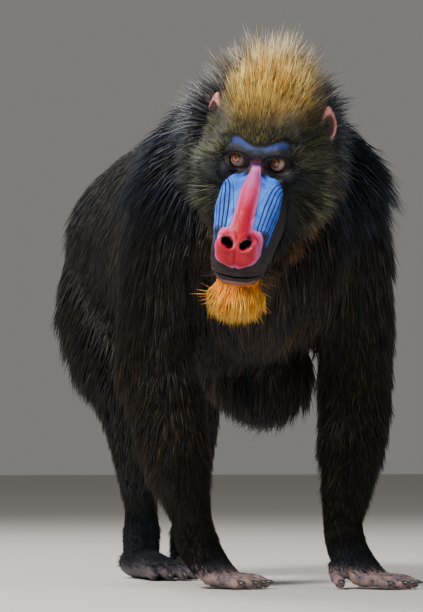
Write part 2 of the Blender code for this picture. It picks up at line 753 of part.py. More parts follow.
def main():
    clear_scene()
    body = make_body()
    head = make_head()
    hands = [
        make_hand(1, standing_at(ARM_RIGHT, HAND_TURN)),
        make_hand(-1, standing_at(ARM_LEFT, HAND_TURN)),
        make_foot(1, standing_at(LEG_RIGHT, 4.0)),
        make_foot(-1, standing_at(LEG_LEFT, -4.0)),
    ]
    unite(body, [head] + hands + make_cores())
    surface = surface_of(body)
    rng = random.Random(COAT_SEED)
    unite(body, body_locks(surface, rng) + head_locks(surface, rng))
    cut_face(body)
    nodes = [make_eye("eye_left", 1), make_eye("eye_right", -1)]
    nodes += [make_ear("ear_left", 1), make_ear("ear_right", -1)]
    for ear in nodes[2:]:
        room = grown(ear, EAR_ROOM)
        boolean(body, room, "DIFFERENCE")
        remove([room])
    floor = box((-1, -1, -1), (1, 1, 0))
    boolean(body, floor, "DIFFERENCE")
    remove([floor])
    nodes += part_body(body)
    centre_over_origin(nodes)
    for node in nodes:
        paint(node, *COLOURS.get(node.name, (COAT_COLOUR, 0.85)))


main()
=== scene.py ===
"""The looks of a life-size mandrill that stands on all fours with its head turned to its right."""

import math

import bmesh
import bpy
import numpy as np
from mathutils import Matrix, Vector
from mathutils.bvhtree import BVHTree
from mathutils.kdtree import KDTree


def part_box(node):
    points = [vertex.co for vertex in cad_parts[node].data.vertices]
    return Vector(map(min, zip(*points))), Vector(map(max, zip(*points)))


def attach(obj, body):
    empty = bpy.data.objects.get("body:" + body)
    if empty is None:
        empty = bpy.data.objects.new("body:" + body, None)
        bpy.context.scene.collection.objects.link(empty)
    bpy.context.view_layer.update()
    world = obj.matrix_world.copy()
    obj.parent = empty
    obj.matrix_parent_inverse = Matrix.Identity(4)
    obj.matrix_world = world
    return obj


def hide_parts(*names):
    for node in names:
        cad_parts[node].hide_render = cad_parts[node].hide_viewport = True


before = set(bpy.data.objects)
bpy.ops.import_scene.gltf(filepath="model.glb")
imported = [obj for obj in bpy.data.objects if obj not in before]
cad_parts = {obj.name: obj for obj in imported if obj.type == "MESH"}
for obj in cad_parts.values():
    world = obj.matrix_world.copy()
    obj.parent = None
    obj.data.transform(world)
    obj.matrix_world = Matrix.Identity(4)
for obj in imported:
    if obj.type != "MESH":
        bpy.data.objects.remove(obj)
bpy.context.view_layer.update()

# The stance: where the head sits and how it is turned, as in the solids. Everything below is
# modelled with the middle of the shoulders over the origin, and at the end each piece is moved to
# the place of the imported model, which the left eye gives.
EYES_AT = Vector((-0.082, -0.236, 0.575))
HEAD_TURN = 27.5
HEAD_NOD = 17.0
HEAD_TILT = 8.0
EYE_AT = Vector((0.0265, 0.0075, 0.0))
EYE_RADIUS = 0.0125
head_place = (
    Matrix.Translation(EYES_AT)
    @ Matrix.Rotation(math.radians(-HEAD_TURN), 4, "Z")
    @ Matrix.Rotation(math.radians(HEAD_NOD), 4, "X")
    @ Matrix.Rotation(math.radians(HEAD_TILT), 4, "Y")
)
eye_low, eye_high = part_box("eye_left")
to_model = Matrix.Translation((eye_low + eye_high) / 2 - head_place @ EYE_AT)

# The camera stands low in front of the animal and a little to its right, six metres off, with a
# long lens, as the photograph was taken.
CAMERA_BEARING = 18.0
CAMERA_DISTANCE = 6.0
CAMERA_HEIGHT = 0.2
AIM_ACROSS = -0.067
AIM_HEIGHT = 0.39
PIXELS_PER_METRE = 720.0
PICTURE_HEIGHT = 612.0
bearing = math.radians(CAMERA_BEARING)
looking = Vector((math.sin(bearing), math.cos(bearing), 0.0))
across = Vector((math.cos(bearing), -math.sin(bearing), 0.0))
aim = to_model @ (across * AIM_ACROSS + Vector((0, 0, AIM_HEIGHT)))
eye_point = to_model @ (across * AIM_ACROSS - looking * CAMERA_DISTANCE + Vector((0, 0, CAMERA_HEIGHT)))
bpy.ops.object.select_all(action="DESELECT")
turn = (aim - eye_point).to_track_quat("-Z", "Y").to_euler()
bpy.ops.object.camera_add(location=eye_point, rotation=turn)
camera = bpy.context.object
camera.name = "camera"
camera.data.sensor_width = 36.0
camera.data.lens = camera.data.sensor_width * PIXELS_PER_METRE * CAMERA_DISTANCE / PICTURE_HEIGHT
camera.data.clip_end = 50.0
bpy.context.scene.camera = camera

# The flesh: trunk, neck, four legs, tail, head, hands and feet as overlapping rounded forms,
# which are then fused into one skin. They are the solids' forms without cores and locks.
TRUNK = (
    (-0.008, -0.115, 0.535, 0.058, 0.08),
    (-0.004, -0.07, 0.53, 0.098, 0.138),
    (0.0, 0.0, 0.52, 0.124, 0.168),
    (0.006, 0.08, 0.508, 0.13, 0.178),
    (0.008, 0.17, 0.5, 0.128, 0.172),
    (0.0, 0.27, 0.5, 0.12, 0.156),
    (-0.01, 0.37, 0.502, 0.113, 0.138),
    (-0.02, 0.46, 0.496, 0.108, 0.118),
    (-0.02, 0.53, 0.488, 0.092, 0.098),
    (-0.02, 0.575, 0.48, 0.056, 0.064),
)
TRUNK_SQUARENESS = 2.4
PAUNCH = (
    (0.04, 0.075, 0.36, 0.04, 0.05),
    (0.044, 0.1, 0.332, 0.058, 0.08),
    (0.044, 0.16, 0.33, 0.06, 0.08),
    (0.034, 0.23, 0.35, 0.058, 0.066),
    (0.015, 0.29, 0.385, 0.045, 0.045),
)
NECK = (
    (0.0, 0.04, 0.575, 0.09, 0.105),
    (-0.004, -0.01, 0.59, 0.09, 0.104),
    (-0.02, -0.08, 0.606, 0.084, 0.095),
    (-0.045, -0.15, 0.606, 0.07, 0.078),
)
ARM_RIGHT = (
    (-0.072, 0.015, 0.63, 0.03, 0.055),
    (-0.092, 0.012, 0.58, 0.05, 0.085),
    (-0.112, 0.018, 0.49, 0.057, 0.078),
    (-0.13, 0.034, 0.4, 0.05, 0.06),
    (-0.136, 0.04, 0.325, 0.045, 0.05),
    (-0.124, 0.03, 0.25, 0.043, 0.045),
    (-0.11, 0.016, 0.16, 0.035, 0.035),
    (-0.098, 0.005, 0.1, 0.028, 0.028),
    (-0.095, 0.0, 0.06, 0.027, 0.026),
)
ARM_LEFT = (
    (0.072, 0.012, 0.63, 0.03, 0.055),
    (0.094, 0.004, 0.58, 0.05, 0.085),
    (0.116, 0.002, 0.49, 0.057, 0.077),
    (0.135, 0.006, 0.4, 0.05, 0.058),
    (0.141, 0.004, 0.325, 0.045, 0.049),
    (0.135, -0.014, 0.25, 0.043, 0.044),
    (0.116, -0.042, 0.16, 0.035, 0.034),
    (0.1, -0.062, 0.1, 0.028, 0.027),
    (0.096, -0.07, 0.06, 0.027, 0.025),
)
LEG_RIGHT = (
    (-0.078, 0.48, 0.51, 0.046, 0.075),
    (-0.09, 0.455, 0.43, 0.052, 0.082),
    (-0.094, 0.41, 0.35, 0.047, 0.066),
    (-0.086, 0.375, 0.29, 0.038, 0.048),
    (-0.066, 0.395, 0.22, 0.031, 0.041),
    (-0.048, 0.418, 0.15, 0.025, 0.03),
    (-0.042, 0.424, 0.1, 0.023, 0.026),
    (-0.042, 0.42, 0.06, 0.024, 0.027),
)
LEG_LEFT = (
    (0.038, 0.495, 0.51, 0.046, 0.075),
    (0.05, 0.485, 0.43, 0.05, 0.08),
    (0.05, 0.465, 0.35, 0.044, 0.064),
    (0.046, 0.445, 0.29, 0.036, 0.047),
    (0.052, 0.47, 0.22, 0.031, 0.041),
    (0.058, 0.5, 0.15, 0.025, 0.03),
    (0.06, 0.512, 0.1, 0.023, 0.026),
    (0.06, 0.51, 0.06, 0.024, 0.027),
)
TAIL = (
    (-0.02, 0.52, 0.545, 0.024, 0.024),
    (-0.02, 0.572, 0.558, 0.016, 0.016),
    (-0.02, 0.606, 0.564, 0.012, 0.012),
    (-0.02, 0.634, 0.572, 0.009, 0.009),
)
BODY_VOXEL = 0.01


def only(piece):
    """Makes a piece the one that operators act on."""
    bpy.ops.object.select_all(action="DESELECT")
    piece.select_set(True)
    bpy.context.view_layer.objects.active = piece
    return piece


def new_piece(name, points, faces):
    """A mesh object from points and faces."""
    mesh = bpy.data.meshes.new(name)
    mesh.from_pydata([tuple(p) for p in points], [], faces)
    piece = bpy.data.objects.new(name, mesh)
    bpy.context.scene.collection.objects.link(piece)
    return piece


def ball(centre, radii, turn=(0.0, 0.0, 0.0), detail=4):
    """A rounded form of flesh."""
    bpy.ops.object.select_all(action="DESELECT")
    bpy.ops.mesh.primitive_ico_sphere_add(subdivisions=detail, radius=1.0, location=centre, rotation=turn)
    form = bpy.context.object
    form.scale = radii
    bpy.ops.object.transform_apply(location=True, rotation=True, scale=True)
    return form


def rounded(value, squareness):
    """A sine or cosine for a section between an ellipse (2) and a rectangle."""
    return math.copysign(abs(value) ** (2.0 / squareness), value)


def limb(stations, sides=28, sideways=(1.0, 0.0, 0.0), squareness=2.0):
    """A closed form through stations of centre, half width and half height."""
    centres = [Vector(s[:3]) for s in stations]
    points = []
    for i, station in enumerate(stations):
        along = (centres[min(i + 1, len(centres) - 1)] - centres[max(i - 1, 0)]).normalized()
        side = Vector(sideways)
        side = (side - along * side.dot(along)).normalized()
        rise = along.cross(side)
        for k in range(sides):
            angle = 2.0 * math.pi * k / sides
            wide = station[3] * rounded(math.cos(angle), squareness)
            high = station[4] * rounded(math.sin(angle), squareness)
            points.append(centres[i] + side * wide + rise * high)
    faces = [tuple(range(sides))[::-1], tuple(range(len(points) - sides, len(points)))]
    for i in range(len(stations) - 1):
        for k in range(sides):
            n = (k + 1) % sides
            faces.append((i * sides + k, i * sides + n, (i + 1) * sides + n, (i + 1) * sides + k))
    form = new_piece("limb", points, faces)
    only(form)
    bpy.ops.object.mode_set(mode="EDIT")
    bpy.ops.mesh.select_all(action="SELECT")
    bpy.ops.mesh.normals_make_consistent(inside=False)
    bpy.ops.object.mode_set(mode="OBJECT")
    return form


def apply_modifier(piece, kind, **values):
    """Adds a modifier with these values to a piece and applies it."""
    only(piece)
    modifier = piece.modifiers.new(kind.lower(), kind)
    for key, value in values.items():
        setattr(modifier, key, value)
    bpy.ops.object.modifier_apply(modifier=modifier.name)
    return piece


def boolean(piece, operation, other):
    """Adds another form to a piece or takes it away, and uses it up."""
    apply_modifier(piece, "BOOLEAN", operation=operation, solver="MANIFOLD", object=other)
    bpy.data.objects.remove(other)


def joined(forms, name):
    """Forms made into one piece without changing them."""
    only(forms[0])
    for form in forms:
        form.select_set(True)
    bpy.ops.object.join()
    whole = bpy.context.object
    whole.name = name
    return whole


def fused(forms, name, voxel, smooth):
    """One closed skin over overlapping forms."""
    whole = joined(forms, name)
    apply_modifier(whole, "REMESH", mode="VOXEL", voxel_size=voxel)
    return apply_modifier(whole, "SMOOTH", factor=0.5, iterations=smooth)


def mirrored(point):
    """A point or station on the other side."""
    return (-point[0], *point[1:])


body_forms = [limb(TRUNK, 36, squareness=TRUNK_SQUARENESS), limb(PAUNCH), limb(NECK)]
body_forms += [limb(path) for path in (ARM_RIGHT, ARM_LEFT, LEG_RIGHT, LEG_LEFT, TAIL)]
skin = fused(body_forms, "skin", BODY_VOXEL, 8)

# The head of flesh: skull, brow, cheekbones, long ridged muzzle, nose, lips and chin, with lids
# over the eyes, nostrils and the line of the mouth cut in.
MUZZLE = (
    (0.0, 0.035, -0.068, 0.052, 0.068),
    (0.0, 0.0, -0.075, 0.045, 0.066),
    (0.0, -0.03, -0.082, 0.043, 0.062),
    (0.0, -0.06, -0.093, 0.042, 0.055),
    (0.0, -0.09, -0.104, 0.04, 0.049),
    (0.0, -0.114, -0.11, 0.036, 0.04),
    (0.0, -0.13, -0.112, 0.026, 0.028),
)
NOSE_RIDGE = (
    (0.0, 0.002, -0.009, 0.0045, 0.006),
    (0.0, -0.03, -0.02, 0.0085, 0.01),
    (0.0, -0.055, -0.034, 0.011, 0.011),
    (0.0, -0.09, -0.056, 0.012, 0.012),
    (0.0, -0.126, -0.08, 0.015, 0.012),
)
SWELLING = (
    (0.024, -0.012, -0.022, 0.008, 0.007),
    (0.027, -0.028, -0.03, 0.014, 0.012),
    (0.028, -0.062, -0.052, 0.0155, 0.014),
    (0.025, -0.104, -0.078, 0.012, 0.011),
)
# The brow and the line of the mouth from the middle to the animal's left, mirrored to its right
BROW_HALF = (
    (0.0, -0.008, 0.011, 0.009, 0.01),
    (0.026, -0.004, 0.016, 0.01, 0.011),
    (0.047, 0.014, 0.008, 0.008, 0.01),
)
MOUTH_HALF = (
    (0.0, -0.135, -0.127),
    (0.029, -0.117, -0.124),
    (0.042, -0.082, -0.113),
    (0.047, -0.045, -0.102),
)
BROW = [mirrored(s) for s in BROW_HALF[:0:-1]] + list(BROW_HALF)
MOUTH = [mirrored(s) for s in MOUTH_HALF[:0:-1]] + list(MOUTH_HALF)
MOUTH_CUT = (0.0015, 0.008)
HEAD_BALLS = (
    ((0.0, 0.072, 0.01), (0.064, 0.086, 0.06)),
    ((0.0, 0.06, -0.05), (0.06, 0.07, 0.055)),
    ((0.0, -0.128, -0.092), (0.029, 0.018, 0.021)),
    ((0.0, -0.108, -0.118), (0.036, 0.026, 0.018)),
    ((0.0, -0.094, -0.146), (0.028, 0.03, 0.014)),
)
SIDE_BALLS = (
    ((0.045, 0.026, -0.016), (0.024, 0.036, 0.019)),
    ((0.0165, -0.136, -0.084), (0.0135, 0.0125, 0.014)),
    ((0.014, -0.134, -0.096), (0.015, 0.012, 0.013)),
    (tuple(EYE_AT), (0.0165, 0.0145, 0.015)),
)
# Cuts on each side, with centre, half sizes, turn and fineness: eye socket, the gap between the
# lids, and the two that make the comma of the nostril
LID_GAP = 0.0003
NOSTRIL_AT = (0.0125, -0.077)
NOSTRIL_TURN = 0.55
NOSTRIL_END = (0.004, 0.0035)
SIDE_CUTS = (
    (tuple(EYE_AT), (EYE_RADIUS + LID_GAP,) * 3, 0.0, 4),
    ((EYE_AT[0], EYE_AT[1] - 0.0125, -0.0004), (0.0134, 0.0145, 0.0116), -0.22, 5),
    ((NOSTRIL_AT[0], -0.15, NOSTRIL_AT[1]), (0.0096, 0.02, 0.0058), -NOSTRIL_TURN, 4),
    (
        (NOSTRIL_AT[0] - NOSTRIL_END[0], -0.15, NOSTRIL_AT[1] - NOSTRIL_END[1]),
        (0.0052, 0.019, 0.0066), 0.0, 4,
    ),
)
HEAD_VOXEL = 0.0034
# The markings of the face: half widths of the red ridge along it, the red nose pad's half width and
# edges, the bounds of the swelling, the furrows' place round it, their distance and the bend at
# their upper ends, the strip on the brow, lips and chin, and the painted shade in the nostril's opening
RIDGE_Y = (-0.15, -0.125, -0.105, -0.08, -0.05, -0.03, -0.01, 0.004)
RIDGE_HALF = (0.017, 0.0165, 0.015, 0.014, 0.0132, 0.0102, 0.006, 0.001)
PAD_HALF = 0.0306
PAD_TOP = -0.064
PAD_BOTTOM = -0.115
PAD_BEHIND = -0.107
SWELLING_TOP = -0.01
SWELLING_MIDDLE = 0.024
SWELLING_FRONT = 0.112
FURROW_FROM = math.radians(150.0)
FURROW_RADIUS = 0.015
FURROW_BEND = 0.022
FURROW_BEND_LENGTH = 0.016
FURROW_PITCH = 0.0058
SMOOTH_LOBE = 0.007
BROW_STRIP_Z = 0.02
BROW_ARCH = 0.0062
BROW_ARCH_AT = 0.029
BROW_ARCH_WIDTH = 0.012
BROW_STRIP_END = 0.044
LIP_ABOVE = 0.019
LIP_BELOW = 0.0055
CHIN_FROM = 0.0066
CHIN_TO = 0.0125
CHIN_HALF = 0.027
NOSTRIL_HALF = (0.01, 0.006)
NOSTRIL_END_HALF = (0.006, 0.0074)
NOSTRIL_EDGE = 0.007
swelling_path = np.array(SWELLING)[::-1]
mouth_path = np.array(MOUTH_HALF)


def between(low, high, value):
    """0 below low, 1 above high, smooth between; the other way round where low is above high."""
    share = np.clip((value - low) / (high - low), 0.0, 1.0)
    return share * share * (3.0 - 2.0 * share)


def along_nostril(a, z):
    """Places along and across the slanting slit of the nostril."""
    off_x, off_z = a - NOSTRIL_AT[0], z - NOSTRIL_AT[1]
    cosine, sine = math.cos(NOSTRIL_TURN), math.sin(NOSTRIL_TURN)
    return off_x * cosine + off_z * sine, off_z * cosine - off_x * sine


def face_fields(local):
    """How far inside each marking points lie, in metres, for points in the head's own axes."""
    a, y, z = np.abs(local[:, 0]), local[:, 1], local[:, 2]
    middle_x, middle_z, swell_r = (
        np.interp(y, swelling_path[:, 1], swelling_path[:, k]) for k in (0, 2, 3)
    )
    above = z - middle_z + 0.009
    ridge = np.minimum.reduce([np.interp(y, RIDGE_Y, RIDGE_HALF) - a, above, -0.16 * (z + 0.003)])
    pad_low = PAD_BOTTOM + 0.45 * np.maximum(a - 0.012, 0.0) + 0.003 * np.exp(-(a / 0.004) ** 2)
    pad_half = PAD_HALF - 70.0 * np.maximum(-0.094 - z, 0.0) ** 2
    pad_half = pad_half - 30.0 * np.maximum(z + 0.08, 0.0) ** 2
    pad = np.minimum.reduce([pad_half - a, z - pad_low, PAD_TOP - z, PAD_BEHIND - y])
    round_middle = swell_r + 0.005 - np.hypot(a - middle_x, z - middle_z)
    under_top = SWELLING_TOP - y - 20.0 * (a - SWELLING_MIDDLE) ** 2
    beside_ridge = np.minimum.reduce([0.026 - a, -0.02 - y, above])
    swelling = np.maximum(np.minimum(round_middle, under_top), beside_ridge)
    swelling = np.minimum(swelling, y + SWELLING_FRONT - 0.45 * np.maximum(a - 0.018, 0.0))
    furrow_at = (FURROW_FROM - np.arctan2(z - middle_z, a - middle_x)) * FURROW_RADIUS
    furrow_at = furrow_at - FURROW_BEND * np.exp((y + 0.022) / FURROW_BEND_LENGTH)
    brow_half = 0.001 + 0.0024 * between(0.003, 0.016, a) * between(0.05, 0.03, a)
    brow_z = BROW_STRIP_Z + BROW_ARCH * np.exp(-((a - BROW_ARCH_AT) / BROW_ARCH_WIDTH) ** 2)
    brow = np.minimum.reduce([brow_half - np.abs(z - brow_z), BROW_STRIP_END - a, 0.018 - y])
    mouth_z = np.interp(y, mouth_path[:, 1], mouth_path[:, 2])
    lips = np.minimum.reduce([mouth_z + LIP_ABOVE - z, z - mouth_z + LIP_BELOW, -0.04 - y])
    under_lip = [mouth_z - CHIN_FROM - z, z - mouth_z + CHIN_TO]
    chin = np.minimum.reduce([*under_lip, CHIN_HALF - a, -0.09 - y])
    eye = np.hypot(a - EYE_AT[0], z * 1.15)
    # The nostril's slit and its inner end, where the opening is painted dark as shade
    along, across = along_nostril(a, z)
    slit = 1.0 - np.hypot(along / NOSTRIL_HALF[0], across / NOSTRIL_HALF[1])
    end_x = (a - NOSTRIL_AT[0] + NOSTRIL_END[0]) / NOSTRIL_END_HALF[0]
    end_z = (z - NOSTRIL_AT[1] + NOSTRIL_END[1]) / NOSTRIL_END_HALF[1]
    inner_end = 1.0 - np.hypot(end_x, end_z)
    nostril = np.minimum(NOSTRIL_EDGE * np.maximum(slit, inner_end), y + 0.1425)
    return {
        "nostril": np.where(y < -0.12, nostril, -1.0),
        "red": np.maximum(ridge, pad),
        "pad": pad,
        "swelling": swelling,
        "furrow_at": furrow_at,
        "brow": brow,
        "lips": lips,
        "chin": chin,
        "eye": np.where(y < 0.02, eye, 1.0),
    }


def bareness(local, fields):
    """1 on the bare skin of the face, 0 where hair grows."""
    a, y, z = np.abs(local[:, 0]), local[:, 1], local[:, 2]
    front = between(0.006, -0.006, y) * between(-0.14, -0.133, z) * between(0.026, 0.021, z)
    front *= between(0.052, 0.04, a + 0.08 * y)
    markings = np.maximum.reduce([fields[name] for name in ("brow", "pad", "lips", "chin")])
    round_eye = between(0.0205, 0.0165, fields["eye"])
    return np.maximum.reduce([front, round_eye, between(-0.001, 0.0005, markings)])


def per_point(piece, kind):
    """The places (co) or normals (normal) of a piece's points."""
    values = np.empty(len(piece.data.vertices) * 3)
    piece.data.vertices.foreach_get(kind, values)
    return values.reshape(-1, 3)


head_forms = [ball(centre, radii) for centre, radii in HEAD_BALLS]
head_forms += [limb(MUZZLE), limb(NOSE_RIDGE, 16), limb(BROW, 16, (0, 0, 1))]
for centre, radii in SIDE_BALLS:
    head_forms += [ball(centre, radii), ball(mirrored(centre), radii)]
head_forms += [limb(SWELLING, 24), limb([mirrored(s) for s in SWELLING], 24)]
head = fused(head_forms, "head_skin", HEAD_VOXEL, 3)

# The mesh is made finer on the bare face, and again on swellings, nose and lids
for level in (1, 2):
    only(head)
    bpy.ops.object.mode_set(mode="EDIT")
    bpy.ops.mesh.select_mode(type="FACE")
    bpy.ops.mesh.select_all(action="DESELECT")
    face_mesh = bmesh.from_edit_mesh(head.data)
    middles = np.array([face.calc_center_median() for face in face_mesh.faces])
    fields = face_fields(middles)
    if level == 1:
        finer = bareness(middles, fields) > 0.05
    else:
        on_fold = (fields["swelling"] > -0.001) & (fields["red"] < 0.001)
        finer = on_fold | (fields["pad"] > -0.003) | (fields["eye"] < 0.0175)
    for face, chosen in zip(face_mesh.faces, finer):
        face.select_set(bool(chosen))
    bmesh.update_edit_mesh(head.data)
    bpy.ops.mesh.subdivide(number_cuts=1, smoothness=1.0)
    bpy.ops.object.mode_set(mode="OBJECT")
    apply_modifier(head, "SMOOTH", factor=0.5, iterations=2)

cuts = [limb([(*p, *MOUTH_CUT) for p in MOUTH], 12, (0, 0, 1))]
for centre, radii, turn, detail in SIDE_CUTS:
    for side in (1, -1):
        cuts.append(ball((side * centre[0], *centre[1:]), radii, (0, side * turn, 0), detail))
for cut in cuts:
    boolean(head, "DIFFERENCE", cut)

# The relief of the face: furrows with rounded folds between them, the groove under the nose, the
# rims of the nostrils, the folds of the lids and the wrinkles of the lips
head_points = per_point(head, "co")
fields = face_fields(head_points)
apart, back, level = np.abs(head_points[:, 0]), head_points[:, 1], head_points[:, 2]
turns = fields["furrow_at"] / FURROW_PITCH
fold = np.cos(2 * math.pi * turns) * (fields["furrow_at"] > SMOOTH_LOBE - FURROW_PITCH / 2)
on_swelling = between(-0.001, 0.002, fields["swelling"]) * between(0.001, -0.001, fields["red"])
relief = on_swelling * (0.0002 - 0.0009 * np.maximum(fold, 0.0) ** 3)
under_nose = between(-0.122, -0.128, back) * between(-0.12, -0.114, level)
under_nose *= between(-0.084, -0.092, level)
relief -= 0.002 * np.exp(-(apart / 0.0016) ** 2) * under_nose
along_slit, across_slit = along_nostril(apart, level)
rim_at = np.hypot(along_slit / 0.0125, across_slit / 0.0095)
relief += 0.0015 * np.exp(-((rim_at - 1.0) / 0.25) ** 2) * between(-0.116, -0.124, back)
lid_at = np.hypot(apart - EYE_AT[0], (level - EYE_AT[2]) * 1.45) / 0.0125
around_eye = between(0.02, 0.01, back)
for height, at, spread in ((0.001, 1.08, 0.12), (-0.001, 1.42, 0.12), (0.0007, 1.75, 0.14)):
    relief += height * np.exp(-((lid_at - at) / spread) ** 2) * around_eye
relief += 0.0003 * np.sin(apart * 2 * math.pi / 0.0036) * between(0.0, 0.004, fields["lips"])
raised_points = head_points + per_point(head, "normal") * relief[:, None]
head.data.vertices.foreach_set("co", raised_points.ravel())
head.data.update()
head.data.transform(head_place)

# Hands and feet: a palm raised to the wrist with four fingers and a thumb, and a long sole with a
# heel, four toes and a big toe that stands apart, all flat on the floor.
HAND_TURN = 33.0
FOOT_TURN = 4.0
FINGER_STEP = 0.0185
FINGER_RADIUS = 0.0088
TOE_STEP = 0.0175
TOE_RADIUS = 0.0085
HAND_VOXEL = 0.0036
PALM = (
    (0.0, 0.003, 0.105, 0.016, 0.016),
    (0.0, -0.003, 0.075, 0.029, 0.024),
    (0.0, -0.008, 0.055, 0.032, 0.023),
    (0.0, -0.03, 0.028, 0.038, 0.018),
    (0.0, -0.052, 0.012, 0.037, 0.014),
)
SOLE = (
    (0.0, 0.048, 0.022, 0.018, 0.018),
    (0.0, 0.02, 0.022, 0.025, 0.022),
    (0.0, -0.04, 0.02, 0.029, 0.02),
    (0.0, -0.088, 0.013, 0.034, 0.014),
)
ANKLE = (
    (0.0, 0.0, 0.105, 0.014, 0.015),
    (0.0, 0.001, 0.08, 0.024, 0.026),
    (0.0, 0.002, 0.06, 0.026, 0.028),
    (0.0, 0.004, 0.024, 0.025, 0.032),
)
THUMB = (
    (0.02, -0.004, 0.034, 0.01, 0.011),
    (0.042, -0.022, 0.016, 0.009, 0.009),
    (0.054, -0.04, 0.006, 0.007, 0.007),
)
BIG_TOE = (
    (0.018, -0.022, 0.016, 0.012, 0.012),
    (0.04, -0.05, 0.01, 0.01, 0.01),
    (0.054, -0.078, 0.006, 0.008, 0.008),
)


def finger(i, step, radius, start, knuckle, reach):
    """A finger or toe: its root, its knuckle raised a little, and its tip down on the floor."""
    return (
        (step * i, -start, 0.014, radius, radius),
        (step * i * 1.12, -knuckle, 0.0125, radius, radius),
        (step * i * 1.18, -(knuckle + reach) / 2, 0.01, radius * 0.92, radius * 0.9),
        (step * i * 1.22, -reach, 0.0055, radius * 0.8, radius * 0.7),
    )


def digits(thumb_side, is_hand):
    """The paths of the four fingers and the thumb, or of the toes."""
    paths = []
    for i in (-1.5, -0.5, 0.5, 1.5):
        if is_hand:
            reach = 0.118 - 0.008 * abs(i + 0.3)
            paths.append(finger(i, FINGER_STEP, FINGER_RADIUS, 0.044, 0.078, reach))
        else:
            reach = 0.146 - 0.007 * abs(i - 0.4 * thumb_side)
            paths.append(finger(i, TOE_STEP, TOE_RADIUS, 0.08, 0.112, reach))
    thumb = THUMB if is_hand else BIG_TOE
    paths.append(tuple((thumb_side * s[0], *s[1:]) for s in thumb))
    return paths


def standing_at(path, turn):
    """Where a hand or foot stands: on the floor under its leg's last station."""
    x, y = path[-1][:2]
    return Matrix.Translation((x, y, 0.0)) @ Matrix.Rotation(math.radians(turn), 4, "Z")


EXTREMITIES = (
    ("hand_right", standing_at(ARM_RIGHT, HAND_TURN), 1, True),
    ("hand_left", standing_at(ARM_LEFT, HAND_TURN), -1, True),
    ("foot_right", standing_at(LEG_RIGHT, FOOT_TURN), 1, False),
    ("foot_left", standing_at(LEG_LEFT, -FOOT_TURN), -1, False),
)
ends = []
for name, place, thumb_side, is_hand in EXTREMITIES:
    forms = [limb(PALM)] if is_hand else [limb(SOLE), limb(ANKLE)]
    forms += [limb(path, 16) for path in digits(thumb_side, is_hand)]
    end = fused(forms, name + "_skin", HAND_VOXEL, 2)
    end.data.transform(place)
    ends.append(end)

for part in [head] + ends:
    boolean(skin, "UNION", part)
FLOOR_SINK = 1.0
bpy.ops.object.select_all(action="DESELECT")
bpy.ops.mesh.primitive_cube_add(size=2 * FLOOR_SINK, location=(0, 0, -FLOOR_SINK))
boolean(skin, "DIFFERENCE", bpy.context.object)

# The skin's own unwrap. A tuft's patch for the bake lies where its root is on this map.
UNWRAP_ANGLE = 66.0
UNWRAP_MARGIN = 0.002
apply_modifier(skin, "TRIANGULATE")
only(skin)
bpy.ops.object.mode_set(mode="EDIT")
bpy.ops.mesh.select_all(action="SELECT")
bpy.ops.uv.smart_project(angle_limit=math.radians(UNWRAP_ANGLE), island_margin=UNWRAP_MARGIN)
bpy.ops.object.mode_set(mode="OBJECT")
skin.data.uv_layers[0].name = "OFBake"
bpy.ops.object.shade_smooth()

# How the coat grows and is coloured, as guide hairs. Each guide holds its place, the heading of the
# hair, its length, the width of a tuft and its stand off the skin in degrees, how many thousand
# tufts grow on a square metre, how far the guide reaches, its colours and the piece that it grows.
# Those of the head are in the head's own axes: x to its left, -y forward, z up, from between the
# eyes. Each guide off the middle stands for its mirror image too.
COLOURS = {
    # name: (at the root, towards the tip, the pale band, share of tufts with the band)
    # The mane's blue-grey band is partly a pale band of the hair and partly painted sheen
    "mane": ((6, 7, 11), (15, 18, 28), (60, 72, 100), 0.14),
    "back": ((15, 14, 12), (36, 34, 25), (92, 86, 60), 0.25),
    "flank": ((11, 11, 12), (26, 25, 26), (70, 66, 54), 0.18),
    "belly": ((24, 21, 20), (54, 46, 38), (120, 100, 74), 0.2),
    "chest": ((8, 8, 10), (20, 20, 23), (96, 78, 56), 0.1),
    "arm": ((8, 8, 8), (22, 20, 16), (66, 60, 38), 0.22),
    "arm_inside": ((10, 8, 8), (26, 19, 16), (60, 44, 32), 0.22),
    "paw": ((13, 15, 20), (28, 33, 44), (56, 60, 70), 0.2),
    "fringe": ((13, 10, 8), (38, 26, 16), (92, 62, 32), 0.28),
    "leg": ((9, 9, 11), (21, 22, 25), (64, 64, 54), 0.22),
    "brow": ((10, 10, 8), (29, 29, 19), (122, 112, 54), 0.25),
    "crown": ((66, 42, 8), (216, 160, 52), (255, 226, 124), 0.55),
    "gold": ((70, 38, 6), (206, 132, 20), (255, 200, 60), 0.55),
    "crest": ((84, 62, 30), (222, 184, 116), (255, 236, 184), 0.5),
    "nape": ((20, 22, 30), (54, 58, 70), (132, 132, 140), 0.26),
    "ruff": ((12, 14, 11), (38, 40, 28), (138, 138, 98), 0.38),
    "ruff_low": ((9, 9, 8), (28, 25, 16), (84, 74, 40), 0.28),
    "muzzle_side": ((7, 9, 15), (14, 17, 28), (30, 38, 58), 0.2),
    "whisker": ((64, 36, 6), (182, 110, 24), (230, 160, 58), 0.45),
    "beard": ((190, 100, 4), (255, 166, 20), (255, 214, 84), 0.5),
    "throat": ((20, 17, 14), (62, 48, 34), (124, 98, 66), 0.28),
    "tail": ((26, 23, 20), (52, 46, 36), (110, 98, 76), 0.3),
}
